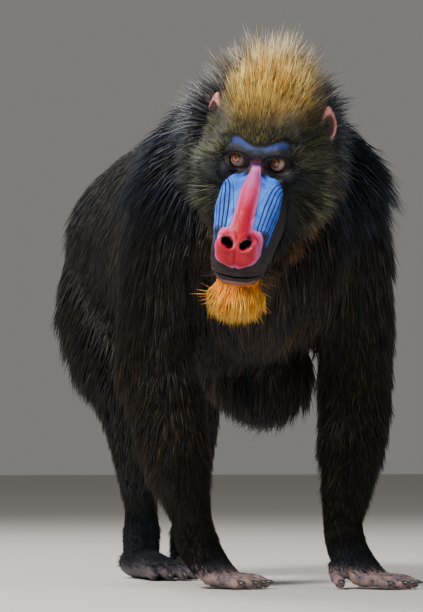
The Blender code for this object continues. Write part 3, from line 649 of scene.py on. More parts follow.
HEAD_GUIDES = (
    ((0.0, -0.006, 0.032), (0.0, 0.5, 0.9), 0.011, 0.0011, 16, 1250, 0.013, "brow", "crown"),
    ((0.034, -0.002, 0.036), (0.3, 0.6, 0.8), 0.012, 0.0011, 16, 1250, 0.013, "brow", "crown"),
    ((0.0, 0.006, 0.048), (0.0, 0.7, 0.8), 0.016, 0.0012, 20, 1250, 0.013, "brow", "crown"),
    ((0.03, 0.012, 0.05), (0.2, 0.7, 0.75), 0.016, 0.0012, 20, 1250, 0.013, "brow", "crown"),
    ((0.0, 0.024, 0.062), (0.0, 0.7, 0.8), 0.026, 0.0014, 30, 1100, 0.014, "crown", "crown"),
    ((0.026, 0.03, 0.062), (0.2, 0.7, 0.75), 0.026, 0.0014, 26, 1100, 0.014, "crown", "crown"),
    ((0.0, 0.05, 0.07), (0.0, 0.45, 1.0), 0.062, 0.0014, 54, 860, 0.016, "gold", "crest"),
    ((0.022, 0.052, 0.068), (0.1, 0.45, 1.0), 0.06, 0.0014, 48, 860, 0.016, "crown", "crest"),
    ((0.0, 0.085, 0.07), (0.0, 0.45, 1.0), 0.112, 0.0014, 60, 780, 0.02, "crest", "crest"),
    ((0.028, 0.086, 0.064), (0.12, 0.55, 0.95), 0.086, 0.0014, 44, 720, 0.018, "crest", "crest"),
    ((0.052, 0.08, 0.05), (0.4, 0.8, 0.45), 0.05, 0.0015, 26, 600, 0.016, "ruff_low", "crest"),
    ((0.0, 0.13, 0.055), (0.0, 0.85, 0.55), 0.09, 0.0017, 28, 410, 0.026, "nape", "nape"),
    ((0.045, 0.13, 0.04), (0.4, 0.85, 0.3), 0.08, 0.0017, 22, 410, 0.026, "nape", "nape"),
    ((0.05, 0.03, 0.034), (0.45, 0.75, 0.35), 0.016, 0.0012, 18, 1150, 0.014, "brow", "crown"),
    ((0.064, 0.066, 0.008), (0.35, 0.85, 0.3), 0.036, 0.0014, 34, 850, 0.014, "ruff", "ruff"),
    ((0.06, 0.058, 0.034), (0.55, 0.65, 0.45), 0.026, 0.0013, 34, 1000, 0.013, "brow", "crown"),
    ((0.06, 0.024, 0.004), (0.6, 0.8, 0.1), 0.032, 0.0013, 30, 1000, 0.014, "ruff", "crown"),
    ((0.064, 0.034, -0.024), (0.8, 0.6, -0.1), 0.052, 0.0015, 40, 760, 0.016, "ruff", "ruff"),
    ((0.064, 0.034, -0.056), (0.76, 0.58, -0.36), 0.058, 0.0015, 38, 720, 0.018, "ruff", "ruff"),
    ((0.058, 0.02, -0.088), (0.62, 0.55, -0.68), 0.048, 0.0015, 28, 700, 0.016, "ruff_low", "ruff"),
    ((0.066, 0.068, -0.092), (0.42, 0.6, -0.66), 0.058, 0.0017, 34, 700, 0.017, "whisker", "ruff"),
    ((0.048, 0.004, -0.105), (0.45, 0.45, -0.8), 0.022, 0.0013, 18, 800, 0.016, "muzzle_side", "ruff"),
    ((0.046, -0.03, -0.112), (0.35, 0.6, -0.8), 0.012, 0.0011, 14, 900, 0.015, "muzzle_side", "crown"),
    ((0.064, 0.08, -0.04), (0.6, 0.8, -0.3), 0.062, 0.0018, 32, 520, 0.02, "ruff_low", "ruff"),
    ((0.05, 0.004, -0.03), (0.6, 0.7, -0.2), 0.008, 0.001, 14, 900, 0.013, "muzzle_side", "crown"),
    ((0.048, 0.0, -0.07), (0.5, 0.7, -0.4), 0.009, 0.001, 14, 900, 0.014, "muzzle_side", "crown"),
    ((0.045, -0.03, -0.08), (0.4, 0.8, -0.4), 0.006, 0.0009, 12, 600, 0.014, "muzzle_side", "crown"),
    ((0.0, -0.112, -0.154), (0.0, -0.1, -1.0), 0.046, 0.0015, 34, 760, 0.013, "beard", "beard"),
    ((0.02, -0.096, -0.15), (0.34, -0.02, -1.0), 0.04, 0.0015, 22, 760, 0.013, "beard", "beard"),
    ((0.0, -0.08, -0.158), (0.0, 0.0, -1.0), 0.058, 0.0017, 38, 640, 0.016, "beard", "beard"),
    ((0.022, -0.068, -0.152), (0.42, 0.05, -1.0), 0.046, 0.0017, 26, 620, 0.013, "beard", "beard"),
    ((0.038, -0.056, -0.132), (0.05, 0.6, -0.8), 0.016, 0.0013, 10, 800, 0.014, "muzzle_side", "crown"),
    ((0.036, -0.03, -0.136), (0.05, 0.5, -0.9), 0.03, 0.0016, 14, 600, 0.016, "throat", "beard"),
    ((0.0, -0.02, -0.145), (0.0, 0.1, -1.0), 0.06, 0.002, 34, 460, 0.024, "throat", "beard"),
    ((0.0, 0.04, -0.125), (0.0, 0.1, -1.0), 0.06, 0.0022, 30, 380, 0.026, "throat", "beard"),
)
BODY_GUIDES = (
    ((0.0, -0.04, 0.69), (0.0, 0.95, 0.1), 0.085, 0.0026, 18, 130, 0.05, "nape", "mane"),
    ((0.0, 0.03, 0.7), (0.0, 0.95, -0.1), 0.09, 0.0026, 16, 119, 0.05, "mane", "mane"),
    ((0.08, -0.02, 0.66), (0.3, 0.6, -0.6), 0.1, 0.0026, 17, 119, 0.05, "mane", "mane"),
    ((0.12, 0.01, 0.58), (0.1, 0.35, -0.95), 0.1, 0.0026, 12, 119, 0.05, "mane", "mane"),
    ((0.07, -0.09, 0.6), (0.35, 0.3, -0.8), 0.09, 0.0025, 16, 135, 0.045, "mane", "mane"),
    ((0.0, 0.15, 0.67), (0.0, 1.0, -0.1), 0.075, 0.0027, 12, 95, 0.06, "back", "back"),
    ((0.0, 0.3, 0.655), (0.0, 1.0, -0.1), 0.06, 0.0027, 11, 80, 0.06, "back", "back"),
    ((0.0, 0.45, 0.61), (0.0, 0.95, -0.3), 0.055, 0.0027, 11, 80, 0.06, "back", "back"),
    ((0.0, 0.56, 0.54), (0.0, 0.6, -0.8), 0.045, 0.0026, 12, 90, 0.04, "back", "back"),
    ((0.125, 0.13, 0.54), (0.0, 0.7, -0.7), 0.095, 0.0028, 9, 77, 0.06, "flank", "flank"),
    ((0.125, 0.28, 0.52), (0.0, 0.7, -0.7), 0.085, 0.0028, 7, 77, 0.06, "flank", "flank"),
    ((0.11, 0.2, 0.39), (0.0, 0.55, -0.85), 0.09, 0.0028, 10, 77, 0.06, "flank", "flank"),
    ((0.11, 0.42, 0.54), (0.0, 0.6, -0.8), 0.085, 0.0028, 7, 77, 0.06, "flank", "flank"),
    ((0.0, 0.25, 0.33), (0.0, 0.6, -0.6), 0.05, 0.0027, 14, 75, 0.06, "belly", "chest"),
    ((0.0, 0.4, 0.38), (0.0, 0.5, -0.7), 0.05, 0.0027, 14, 75, 0.06, "belly", "chest"),
    ((0.0, -0.12, 0.54), (0.0, -0.15, -1.0), 0.09, 0.0025, 14, 135, 0.045, "chest", "chest"),
    ((0.05, -0.08, 0.44), (0.05, -0.05, -1.0), 0.095, 0.0025, 13, 114, 0.05, "chest", "chest"),
    ((0.0, 0.06, 0.36), (0.0, 0.2, -1.0), 0.065, 0.0025, 13, 110, 0.05, "chest", "chest"),
    ((0.042, -0.088, 0.388), (0.0, -0.05, -1.0), 0.075, 0.0025, 12, 120, 0.026, "throat", "chest"),
    ((0.155, 0.0, 0.5), (0.1, 0.25, -0.95), 0.088, 0.0026, 10, 125, 0.05, "arm", "arm"),
    ((0.11, -0.07, 0.48), (0.05, 0.0, -1.0), 0.065, 0.0025, 11, 125, 0.045, "arm", "arm"),
    ((0.175, 0.01, 0.37), (0.1, 0.25, -0.95), 0.072, 0.0025, 11, 135, 0.045, "arm", "arm"),
    ((0.135, 0.07, 0.33), (0.1, 0.55, -0.85), 0.08, 0.0025, 18, 125, 0.045, "fringe", "arm"),
    ((0.1, 0.01, 0.36), (-0.05, 0.15, -1.0), 0.055, 0.0024, 12, 125, 0.04, "arm_inside", "arm"),
    ((0.135, -0.035, 0.32), (0.05, -0.05, -1.0), 0.038, 0.0023, 11, 150, 0.045, "arm", "arm"),
    ((0.17, 0.01, 0.25), (0.15, 0.2, -0.95), 0.052, 0.0024, 13, 145, 0.04, "arm", "arm"),
    ((0.095, 0.0, 0.25), (-0.05, 0.2, -1.0), 0.045, 0.0023, 12, 140, 0.035, "arm_inside", "arm"),
    ((0.13, 0.04, 0.22), (0.05, 0.5, -0.85), 0.058, 0.0024, 18, 140, 0.04, "fringe", "arm"),
    ((0.115, -0.03, 0.15), (0.1, 0.1, -1.0), 0.028, 0.002, 12, 260, 0.035, "arm", "hand"),
    ((0.1, -0.02, 0.105), (0.0, -0.1, -1.0), 0.022, 0.0018, 8, 340, 0.024, "arm", "hand"),
    ((0.1, -0.045, 0.07), (0.0, -0.6, -1.0), 0.015, 0.0014, 7, 420, 0.022, "arm", "hand"),
    ((0.11, -0.075, 0.042), (0.1, -1.0, -0.6), 0.014, 0.0013, 6, 420, 0.016, "paw", "hand"),
    ((0.124, -0.112, 0.03), (0.1, -1.0, -0.4), 0.01, 0.0011, 6, 420, 0.016, "paw", "hand"),
    ((0.07, -0.045, 0.035), (0.0, -1.0, -0.4), 0.01, 0.0011, 6, 420, 0.016, "paw", "hand"),
    ((0.13, 0.47, 0.44), (0.05, 0.35, -0.95), 0.092, 0.0029, 10, 78, 0.05, "leg", "leg"),
    ((0.12, 0.4, 0.37), (0.05, 0.3, -0.95), 0.082, 0.0028, 11, 82, 0.045, "leg", "leg"),
    ((0.04, 0.43, 0.36), (0.0, 0.3, -0.95), 0.05, 0.0026, 12, 80, 0.04, "leg", "leg"),
    ((0.08, 0.35, 0.29), (0.0, 0.2, -1.0), 0.045, 0.0026, 13, 92, 0.04, "leg", "leg"),
    ((0.07, 0.43, 0.21), (0.0, 0.3, -1.0), 0.042, 0.0025, 12, 112, 0.04, "leg", "leg"),
    ((0.05, 0.45, 0.12), (0.0, 0.15, -1.0), 0.026, 0.002, 10, 240, 0.03, "leg", "foot"),
    ((0.05, 0.41, 0.05), (0.0, -1.0, -0.3), 0.012, 0.0013, 7, 340, 0.03, "paw", "foot"),
    ((0.05, 0.36, 0.02), (0.0, -1.0, -0.1), 0.01, 0.0011, 6, 400, 0.02, "paw", "foot"),
    ((0.06, 0.46, 0.025), (0.0, -1.0, -0.1), 0.01, 0.0011, 6, 400, 0.02, "paw", "foot"),
    ((-0.02, 0.595, 0.57), (0.0, 1.0, 0.15), 0.03, 0.002, 18, 320, 0.016, "tail", "back"),
    ((-0.02, 0.63, 0.572), (0.0, 1.0, 0.2), 0.034, 0.002, 18, 360, 0.016, "tail", "back"),
)
# A guide that reaches less than SHORT_REACH pulls harder than its wider neighbours
HEAD_PULL = 3.0
SHORT_REACH = 0.03
AT_A_TIME = 20000
# Hands lie ahead of this place and feet behind it. Heights over the floor between which the bare
# sole ends, and between which the hair begins
HINDQUARTERS = 0.2
HAND_SOLE = (0.034, 0.024)
FOOT_SOLE = (0.03, 0.018)
HAND_HAIR = (0.02, 0.034)
FOOT_HAIR = (0.014, 0.024)
# The rump's bare patch: centre and half sizes of its lilac, of its rose and of the place left bare
RUMP_LILAC = ((-0.02, 0.59, 0.48), (0.085, 0.08, 0.085))
RUMP_ROSE = ((-0.02, 0.6, 0.466), (0.02, 0.06, 0.034))
RUMP_BARE = ((-0.02, 0.6, 0.48), (0.062, 0.07, 0.064))


def linear(colour):
    """A colour given in 0 to 255 as light values."""
    share = np.asarray(colour, float) / 255.0
    return np.where(share < 0.04045, share / 12.92, ((share + 0.055) / 1.055) ** 2.4)


def guide_table():
    """All guides, mirrored and placed: places, reaches, values and the piece each grows."""
    places, reaches, values, pieces = [], [], [], []
    turn = head_place.to_3x3()
    for guides, on_head in ((HEAD_GUIDES, True), (BODY_GUIDES, False)):
        for place, heading, length, width, stand, density, reach, colour, piece in guides:
            for side in (1, -1):
                if side < 0 and abs(place[0]) < 0.001:
                    continue
                point = Vector((side * place[0], *place[1:]))
                flow = Vector((side * heading[0], *heading[1:])).normalized()
                if on_head:
                    point = head_place @ point
                    flow = turn @ flow
                root, tip, band, share = COLOURS[colour]
                hues = np.concatenate([linear(hue) for hue in (root, tip, band)])
                growth = (length, width, math.radians(stand), density * 1000.0)
                places.append(point)
                reaches.append(reach)
                values.append((*flow, *growth, *hues, share))
                pieces.append(piece)
    return np.array(places), np.array(reaches), np.array(values), pieces


guide_places, guide_reaches, guide_values, guide_pieces = guide_table()


def groomed(points):
    """What the guides say at each point, and the guide that says most."""
    out = np.empty((len(points), guide_values.shape[1]))
    most = np.empty(len(points), int)
    pull = np.where(guide_reaches < SHORT_REACH, HEAD_PULL, 1.0)
    for start in range(0, len(points), AT_A_TIME):
        here = slice(start, start + AT_A_TIME)
        apart = points[here][:, None, :] - guide_places[None, :, :]
        far = (apart ** 2).sum(-1) / (2.0 * guide_reaches**2)
        weight = np.exp(-(far - far.min(1, keepdims=True))) * pull
        weight /= weight.sum(1, keepdims=True)
        out[here] = weight @ guide_values
        most[here] = weight.argmax(1)
    return out, most


def blob(points, centre, radii):
    """1 at the centre of a soft ellipsoid, falling to 0 outside it."""
    away = np.sqrt((((points - np.array(centre)) / np.array(radii)) ** 2).sum(1))
    return between(1.25, 0.75, away)


def in_head(points):
    """Points in the head's own axes."""
    back = np.array(head_place.inverted())
    return points @ back[:3, :3].T + back[:3, 3]


# The skin and its colours. A red ridge runs down the nose to the red nostrils, and on each side of
# it lies a blue swelling with long furrows, whose dark is partly the skin's own colour and partly
# painted shade. The rest of the bare skin is dark blue, brown and purple, that of hands and feet is
# pinkish grey, and under the coat it has the coat's colours.
def mixed(colour, other, share):
    """Colours laid over by another one, as far as its share."""
    return colour + (linear(other) - colour) * share[:, None]


def skin_colours(points):
    """The skin's ground colour at points of the animal, and how bare it is there."""
    guides = groomed(points)[0]
    colour = guides[:, 7:10] * 0.7 + guides[:, 10:13] * 0.3
    local = in_head(points)
    fields = face_fields(local)
    near = blob(local, (0.0, -0.02, -0.05), (0.12, 0.24, 0.2))
    bare = bareness(local, fields) * near
    ahead = points[:, 1] < HINDQUARTERS
    height = points[:, 2]
    sole = np.where(ahead, between(*HAND_SOLE, height), between(*FOOT_SOLE, height))
    for share, other in (
        (bare, (17, 19, 30)),
        (between(-0.005, 0.0, fields["swelling"]) * near, (20, 28, 56)),
        (between(0.021, 0.016, fields["eye"]) * near, (22, 14, 14)),
        (blob(local, (0.0, -0.006, -0.004), (0.009, 0.02, 0.013)), (104, 42, 42)),
        (between(-0.001, 0.003, fields["lips"]) * near, (36, 25, 29)),
        (sole * ahead, (92, 82, 88)),
        (sole * ~ahead, (50, 50, 62)),
        (blob(points, *RUMP_LILAC), (84, 80, 122)),
        (blob(points, *RUMP_ROSE), (142, 78, 98)),
    ):
        colour = mixed(colour, other, share)
    fields = {name: np.where(near > 0.5, field, -1.0) for name, field in fields.items()}
    fields["paw"] = sole * np.where(ahead, 1.0, 0.3)
    return colour, bare, fields


def add_colours(piece, name, colours):
    """A colour for each point of a piece, which its material reads."""
    layer = piece.data.color_attributes.new(name, "FLOAT_COLOR", "POINT")
    opaque = np.hstack([colours, np.ones((len(colours), 1))])
    layer.data.foreach_set("color", opaque.astype(np.float32).ravel())


def add_values(piece, name, values):
    """A number for each point of a piece, which its material reads."""
    layer = piece.data.attributes.new(name, "FLOAT", "POINT")
    layer.data.foreach_set("value", np.asarray(values, np.float32))


skin_points, skin_normals = per_point(skin, "co"), per_point(skin, "normal")
tints, skin_bare, skin_fields = skin_colours(skin_points)
add_colours(skin, "tint", tints)
add_values(skin, "bare", np.maximum(skin_bare, between(0.042, 0.026, skin_points[:, 2])))
for name in ("furrow_at", "swelling", "red", "brow", "chin", "nostril", "paw"):
    add_values(skin, name, skin_fields[name])


def material_with(name, roughness, **sockets):
    """A material with its shader, and the values that are the same all over it."""
    material = bpy.data.materials.new(name)
    material.use_nodes = True
    shader = material.node_tree.nodes["Principled BSDF"]
    shader.inputs["Roughness"].default_value = roughness
    for key, value in sockets.items():
        shader.inputs[key.replace("_", " ")].default_value = value
    return material, material.node_tree, shader


def node(tree, kind, at, **values):
    """A shader node with these settings."""
    made = tree.nodes.new(kind)
    made.location = at
    for key, value in values.items():
        setattr(made, key, value)
    return made


def reads(tree, attribute, at, output="Fac"):
    """What a piece's points say under a name."""
    return node(tree, "ShaderNodeAttribute", at, attribute_name=attribute).outputs[output]


def remapped(tree, source, low_high, to_low_high, at, kind="LINEAR"):
    """A value's range laid over another range."""
    made = node(tree, "ShaderNodeMapRange", at, interpolation_type=kind)
    ends = ("From Min", "From Max", "To Min", "To Max")
    for key, value in zip(ends, (*low_high, *to_low_high)):
        made.inputs[key].default_value = value
    tree.links.new(source, made.inputs["Value"])
    return made.outputs["Result"]


def smooth_step(tree, source, low, high, at):
    """The share from 0 at low to 1 at high of a value."""
    return remapped(tree, source, (low, high), (0.0, 1.0), at, "SMOOTHSTEP")


def sums(tree, operation, at, *sources):
    """A sum on values, each of them a socket or a number."""
    made = node(tree, "ShaderNodeMath", at, operation=operation)
    for socket, source in zip(made.inputs, sources):
        if isinstance(source, float):
            socket.default_value = source
        else:
            tree.links.new(source, socket)
    return made.outputs[0]


def over(tree, share, below, colour, at):
    """A colour laid over another by a share; it is a socket or a value."""
    made = node(tree, "ShaderNodeMix", at, data_type="RGBA")
    tree.links.new(share, made.inputs["Factor"])
    tree.links.new(below, made.inputs["A"])
    if isinstance(colour, tuple):
        made.inputs["B"].default_value = (*linear(colour), 1.0)
    else:
        tree.links.new(colour, made.inputs["B"])
    return made.outputs["Result"]


def noise(tree, scale, detail, at, place=None):
    """Unevenness, laid out by the object's own axes or by the place given."""
    made = node(tree, "ShaderNodeTexNoise", at)
    made.inputs["Scale"].default_value = scale
    made.inputs["Detail"].default_value = detail
    if place is None:
        place = node(tree, "ShaderNodeTexCoord", (at[0] - 200, at[1])).outputs["Object"]
    tree.links.new(place, made.inputs["Vector"])
    return made.outputs["Fac"]


def tones(tree, source, stops, at, light=linear):
    """Colours along a value, given in 0 to 255, or as light values where light is tuple."""
    made = node(tree, "ShaderNodeValToRGB", at)
    ramp = made.color_ramp
    for place, colour in stops[1:-1]:
        ramp.elements.new(place)
    for element, (place, colour) in zip(ramp.elements, stops):
        element.position = place
        element.color = (*light(colour), 1.0)
    tree.links.new(source, made.inputs["Fac"])
    return made.outputs["Color"]


def raised(tree, height, distance, at):
    """Gives the surface a fine relief."""
    bump = node(tree, "ShaderNodeBump", at)
    bump.inputs["Distance"].default_value = distance
    tree.links.new(height, bump.inputs["Height"])
    tree.links.new(bump.outputs["Normal"], tree.nodes["Principled BSDF"].inputs["Normal"])


def dressed(piece, material):
    """Gives a piece smooth shading and its only material."""
    only(piece)
    bpy.ops.object.shade_smooth()
    piece.data.materials.clear()
    piece.data.materials.append(material)


skin_material, tree, shader = material_with("bare_and_hairy_skin", 0.5, Specular_IOR_Level=0.38)
tint = reads(tree, "tint", (-1600, 600), "Color")
creases = noise(tree, 210.0, 6.0, (-1600, -700))
patchy = noise(tree, 60.0, 3.0, (-1600, -1000))
furrow = reads(tree, "furrow_at", (-1600, 100))
swelling = reads(tree, "swelling", (-1600, 300))
red = reads(tree, "red", (-1600, -150))
# A furrow lies at every whole pitch, and none on the smooth lobe beside the ridge
turns = sums(tree, "DIVIDE", (-1400, 100), furrow, FURROW_PITCH)
part_of = sums(tree, "PINGPONG", (-1240, 100), turns, 0.5)
in_groove = smooth_step(tree, part_of, 0.2, 0.06, (-1080, 100))
past_lobe = smooth_step(tree, furrow, SMOOTH_LOBE - 0.0012, SMOOTH_LOBE - 0.0006, (-1080, -100))
on_swelling = smooth_step(tree, swelling, -0.0012, 0.0014, (-1240, 300))
depth = sums(tree, "MULTIPLY", (-900, 0), in_groove, past_lobe)
depth = sums(tree, "MULTIPLY", (-740, 0), depth, on_swelling)
blue = tones(tree, patchy, ((0.3, (26, 80, 196)), (0.7, (72, 144, 250))), (-1240, 520))
outer = smooth_step(tree, swelling, 0.006, 0.0, (-1240, 800))
blue = over(tree, outer, blue, (22, 50, 130), (-900, 700))
# The red runs from pink at its edges and along the narrow top of the ridge to crimson deep in: partly the
# skin's own colour, partly a painted highlight
PINK_TO_RED = (
    (0.0, (196, 108, 166)),
    (0.3, (208, 66, 120)),
    (0.75, (180, 10, 50)),
    (1.0, (172, 5, 40)),
)
reds = tones(tree, smooth_step(tree, red, 0.0, 0.0095, (-1240, -150)), PINK_TO_RED, (-1080, -300))
mottling = smooth_step(tree, creases, 0.48, 0.72, (-1240, -760))
blotched = smooth_step(tree, noise(tree, 85.0, 2.5, (-1600, -1600)), 0.38, 0.68, (-1240, -1500))
brow, chin, nostril = (
    smooth_step(tree, reads(tree, mark, (-1600, down)), low, high, (-1240, down))
    for mark, low, high, down in (
        ("brow", -0.0024, 0.003, -350),
        ("chin", -0.0006, 0.0014, -520),
        ("nostril", -0.001, 0.0012, -1200),
    )
)
pink_palm = sums(tree, "MULTIPLY", (-900, -1400), reads(tree, "paw", (-1600, -1400)), blotched)
colour = tint
for step, (share, laid) in enumerate((
    (mottling, (12, 12, 18)),
    (on_swelling, blue),
    # The dark in the furrows is partly the skin's own colour and partly painted shade in the grooves
    (depth, (7, 12, 34)),
    # A thin dark blue line round the red ridge and nose pad: painted shade at their foot
    (smooth_step(tree, red, -0.001, -0.0002, (-740, -150)), (40, 40, 92)),
    (smooth_step(tree, red, -0.0003, 0.0005, (-740, -300)), reds),
    (brow, (32, 52, 108)),
    # The nostrils' openings are painted dark as shade
    (nostril, (26, 6, 10)),
    (chin, (128, 84, 76)),
    (pink_palm, (138, 108, 104)),
)):
    colour = over(tree, share, colour, laid, (140 * step - 740, 500))
tree.links.new(colour, shader.inputs["Base Color"])
# Pores, creases and the furrows as fine relief, and a gleam that is wetter on the red
place = node(tree, "ShaderNodeTexCoord", (-1400, -600))
pores = node(tree, "ShaderNodeTexVoronoi", (-1100, -660), feature="DISTANCE_TO_EDGE")
pores.inputs["Scale"].default_value = 520.0
tree.links.new(place.outputs["Object"], pores.inputs["Vector"])
hide = sums(tree, "MULTIPLY_ADD", (-860, -640), pores.outputs["Distance"], 0.9, creases)
raised(tree, sums(tree, "SUBTRACT", (-500, -200), hide, depth), 0.0007, (-300, -200))
blotch = remapped(tree, creases, (0.3, 0.7), (0.5, 0.7), (-860, -900))
on_red = smooth_step(tree, red, -0.0005, 0.0015, (-860, -1150))
wetter = sums(tree, "MULTIPLY_ADD", (-600, -900), on_red, -0.22, blotch)
gleam = node(tree, "ShaderNodeMix", (-300, -900), data_type="FLOAT")
gleam.inputs["A"].default_value = 1.0
tree.links.new(reads(tree, "bare", (-600, -1100)), gleam.inputs["Factor"])
tree.links.new(wetter, gleam.inputs["B"])
tree.links.new(gleam.outputs["Result"], shader.inputs["Roughness"])
skin.data.materials.clear()
skin.data.materials.append(skin_material)


def placed(piece, slot, *nodes):
    """Moves a finished piece to the model's place, hangs it on the root and hides the model's parts that
    it stands for.
    """
    piece.data.transform(to_model)
    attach(piece, "root")
    if nodes:
        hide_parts(*nodes)


# The eyes: wet brown globes behind the lids. The iris is painted round the line of sight, with a
# dark rim, fine rays and a round pupil.
GAZE_TURN = -15.0
GAZE_LIFT = 8.0
CORNEA_RADIUS = 0.0068
CORNEA_RISE = 0.0007
IRIS = (
    (0.0, (0.003, 0.002, 0.002)),
    (0.088, (0.004, 0.003, 0.002)),
    (0.102, (0.34, 0.13, 0.026)),
    (0.165, (0.26, 0.085, 0.016)),
    (0.225, (0.09, 0.028, 0.007)),
    (0.25, (0.018, 0.01, 0.008)),
    (0.285, (0.35, 0.24, 0.17)),
    (0.5, (0.28, 0.17, 0.13)),
)
eye_material, tree, shader = material_with(
    "wet_eye", 0.06, Specular_IOR_Level=0.6, Coat_Weight=1.0, Coat_Roughness=0.02
)
seen = node(tree, "ShaderNodeUVMap", (-1500, 0), uv_map="sight").outputs["UV"]
centred = node(tree, "ShaderNodeVectorMath", (-1340, 0), operation="SUBTRACT")
centred.inputs[1].default_value = (0.5, 0.5, 0.0)
radius = node(tree, "ShaderNodeVectorMath", (-1180, 0), operation="LENGTH")
tree.links.new(seen, centred.inputs[0])
tree.links.new(centred.outputs["Vector"], radius.inputs[0])
rays = noise(tree, 42.0, 4.0, (-1180, -260), seen)
stray = sums(tree, "MULTIPLY_ADD", (-1000, -260), rays, 0.05, -0.025)
wavy = sums(tree, "ADD", (-1040, 0), radius.outputs["Value"], stray)
tree.links.new(tones(tree, wavy, IRIS, (-900, 0), tuple), shader.inputs["Base Color"])
gaze = (
    Matrix.Rotation(math.radians(GAZE_TURN), 4, "Z")
    @ Matrix.Rotation(math.radians(-GAZE_LIFT), 4, "X")
)
for name, side in (("eye_left", 1), ("eye_right", -1)):
    globe = ball((0, 0, 0), (EYE_RADIUS,) * 3, detail=5)
    globe.name = name + "_globe"
    for vert in globe.data.vertices:
        off = math.hypot(vert.co.x, vert.co.z)
        if vert.co.y < 0 and off < CORNEA_RADIUS:
            vert.co.y -= CORNEA_RISE * math.cos(math.pi / 2 * off / CORNEA_RADIUS) ** 2
    sight = globe.data.uv_layers[0]
    sight.name = "sight"
    spread = 0.5 / EYE_RADIUS
    for loop in globe.data.loops:
        at = globe.data.vertices[loop.vertex_index].co
        flat = Vector((at.x, at.z))
        if at.y >= 0:
            flat = flat.normalized() * EYE_RADIUS if flat.length > 0 else Vector((EYE_RADIUS, 0))
        sight.data[loop.index].uv = (0.5 + flat.x * spread, 0.5 + flat.y * spread)
    socket_at = Matrix.Translation((side * EYE_AT[0], EYE_AT[1], EYE_AT[2]))
    globe.data.transform(head_place @ socket_at @ gaze)
    dressed(globe, eye_material)
    placed(globe, "eye", name)

# The ears: thin bare cups with a pointed top and a rolled rim, set into the sides of the head.
EAR_AT = (0.076, 0.098, 0.034)
EAR_TURN = -38.0
EAR_RADII = (0.0075, 0.0185, 0.026)
EAR_VOXEL = 0.0011
ear_material, tree, shader = material_with(
    "ear_skin", 0.55, Subsurface_Weight=0.15, Subsurface_Scale=0.004
)
veins = noise(tree, 160.0, 5.0, (-800, 0))
pinks = tones(tree, veins, ((0.3, (150, 84, 80)), (0.72, (222, 160, 150))), (-600, 0))
# The hollow of the cup is painted dark brown as shade
cup_shade = reads(tree, "cup_shade", (-600, 300))
tree.links.new(over(tree, cup_shade, pinks, (64, 30, 28), (-300, 200)), shader.inputs["Base Color"])
raised(tree, veins, 0.0006, (-300, -200))
for name, side in (("ear_left", 1), ("ear_right", -1)):
    cup = ball((0, 0, 0), EAR_RADII)
    for vert in cup.data.vertices:
        if vert.co.z > 0.0:
            vert.co.y *= 1.0 - 0.6 * (vert.co.z / EAR_RADII[2]) ** 1.5
            vert.co.z *= 1.16
    hollow = ball((0.008, -0.002, 0.001), (0.0075, 0.012, 0.0185))
    boolean(cup, "DIFFERENCE", hollow)
    ridge = ball((0.0015, 0.003, 0.004), (0.003, 0.003, 0.011), (0.25, 0, 0))
    root = ball((-0.01, 0.002, -0.008), (0.014, 0.01, 0.012))
    ear = fused([cup, ridge, root], name + "_cup", EAR_VOXEL, 2)
    ear_points = per_point(ear, "co")
    # How far a point lies in the cup's hollow, where shade is painted
    from_middle = np.hypot((ear_points[:, 1] + 0.002) / 0.013, (ear_points[:, 2] - 0.001) / 0.02)
    inside = between(1.0, 0.72, from_middle) * between(-0.003, 0.0, ear_points[:, 0])
    add_values(ear, "cup_shade", inside)
    turn = Matrix.Rotation(math.radians(EAR_TURN), 4, "Z")
    flip = Matrix.Diagonal((side, 1, 1, 1))
    ear.data.transform(head_place @ flip @ Matrix.Translation(EAR_AT) @ turn)
    if side < 0:
        ear.data.flip_normals()
    dressed(ear, ear_material)
    placed(ear, "bare_skin", name)

# The nails: small dark curved plates at the tips of fingers and toes.
NAIL_RADII = (0.0052, 0.008, 0.0026)
NAIL_SLOPE = math.radians(12)
nail_material, tree, shader = material_with("dark_nail", 0.28, Coat_Weight=0.3)
grain = noise(tree, 300.0, 2.0, (-800, 0))
greys = tones(tree, grain, ((0.0, (28, 26, 26)), (1.0, (76, 70, 68))), (-600, 0))
tree.links.new(greys, shader.inputs["Base Color"])
for name, place, thumb_side, is_hand in EXTREMITIES:
    nails = []
    for path in digits(thumb_side, is_hand):
        last, tip = Vector(path[-2][:3]), Vector(path[-1][:3])
        along = (tip - last).normalized()
        at = tip + along * 0.001 + Vector((0, 0, path[-1][4] * 0.8))
        yaw = math.atan2(along.x, -along.y)
        nails.append(ball(at, NAIL_RADII, (NAIL_SLOPE, 0, yaw), detail=3))
    plates = joined(nails, "nails_" + name)
    plates.data.transform(place)
    dressed(plates, nail_material)
    placed(plates, "nail")

# The coat: solid tapered tufts, each for a bunch of hairs, that grow from the skin with a sunk
# root and bend over to follow the body. Their number follows the guides, and neighbours draw
# together at the tips into locks.
COAT_SEED = 11
ROOT_SINK = 0.0015
LONG_HAIR = 0.028
HEADING_SPREAD = 0.16
BRIGHT_SPREAD = 0.22
DROOP = 0.25
DROOP_LENGTH = 0.1
LEAST_HEIGHT = 0.0012
LEAST_RISE = 0.05
OVER_FLOOR = 0.002
LOCK_SHARE = 0.1
LOCK_PULL = 0.5
LOCK_LENGTH = 0.06
TUFT_THICKNESS = 0.42
PATCH = 0.003
PIECE_LIMIT = 195000
HEAD_PIECES = ("crown", "crest", "ruff", "beard")
BODY_MIDDLE = -0.01
rng = np.random.default_rng(COAT_SEED)
triangle_count = len(skin.data.polygons)
corners = np.empty(triangle_count * 3, int)
skin.data.loops.foreach_get("vertex_index", corners)
corners = corners.reshape(-1, 3)
unwrap = np.empty(triangle_count * 6)
skin.data.uv_layers["OFBake"].data.foreach_get("uv", unwrap)
unwrap = unwrap.reshape(-1, 3, 2)
a, b, c = (skin_points[corners[:, k]] for k in range(3))
cross = np.cross(b - a, c - a)
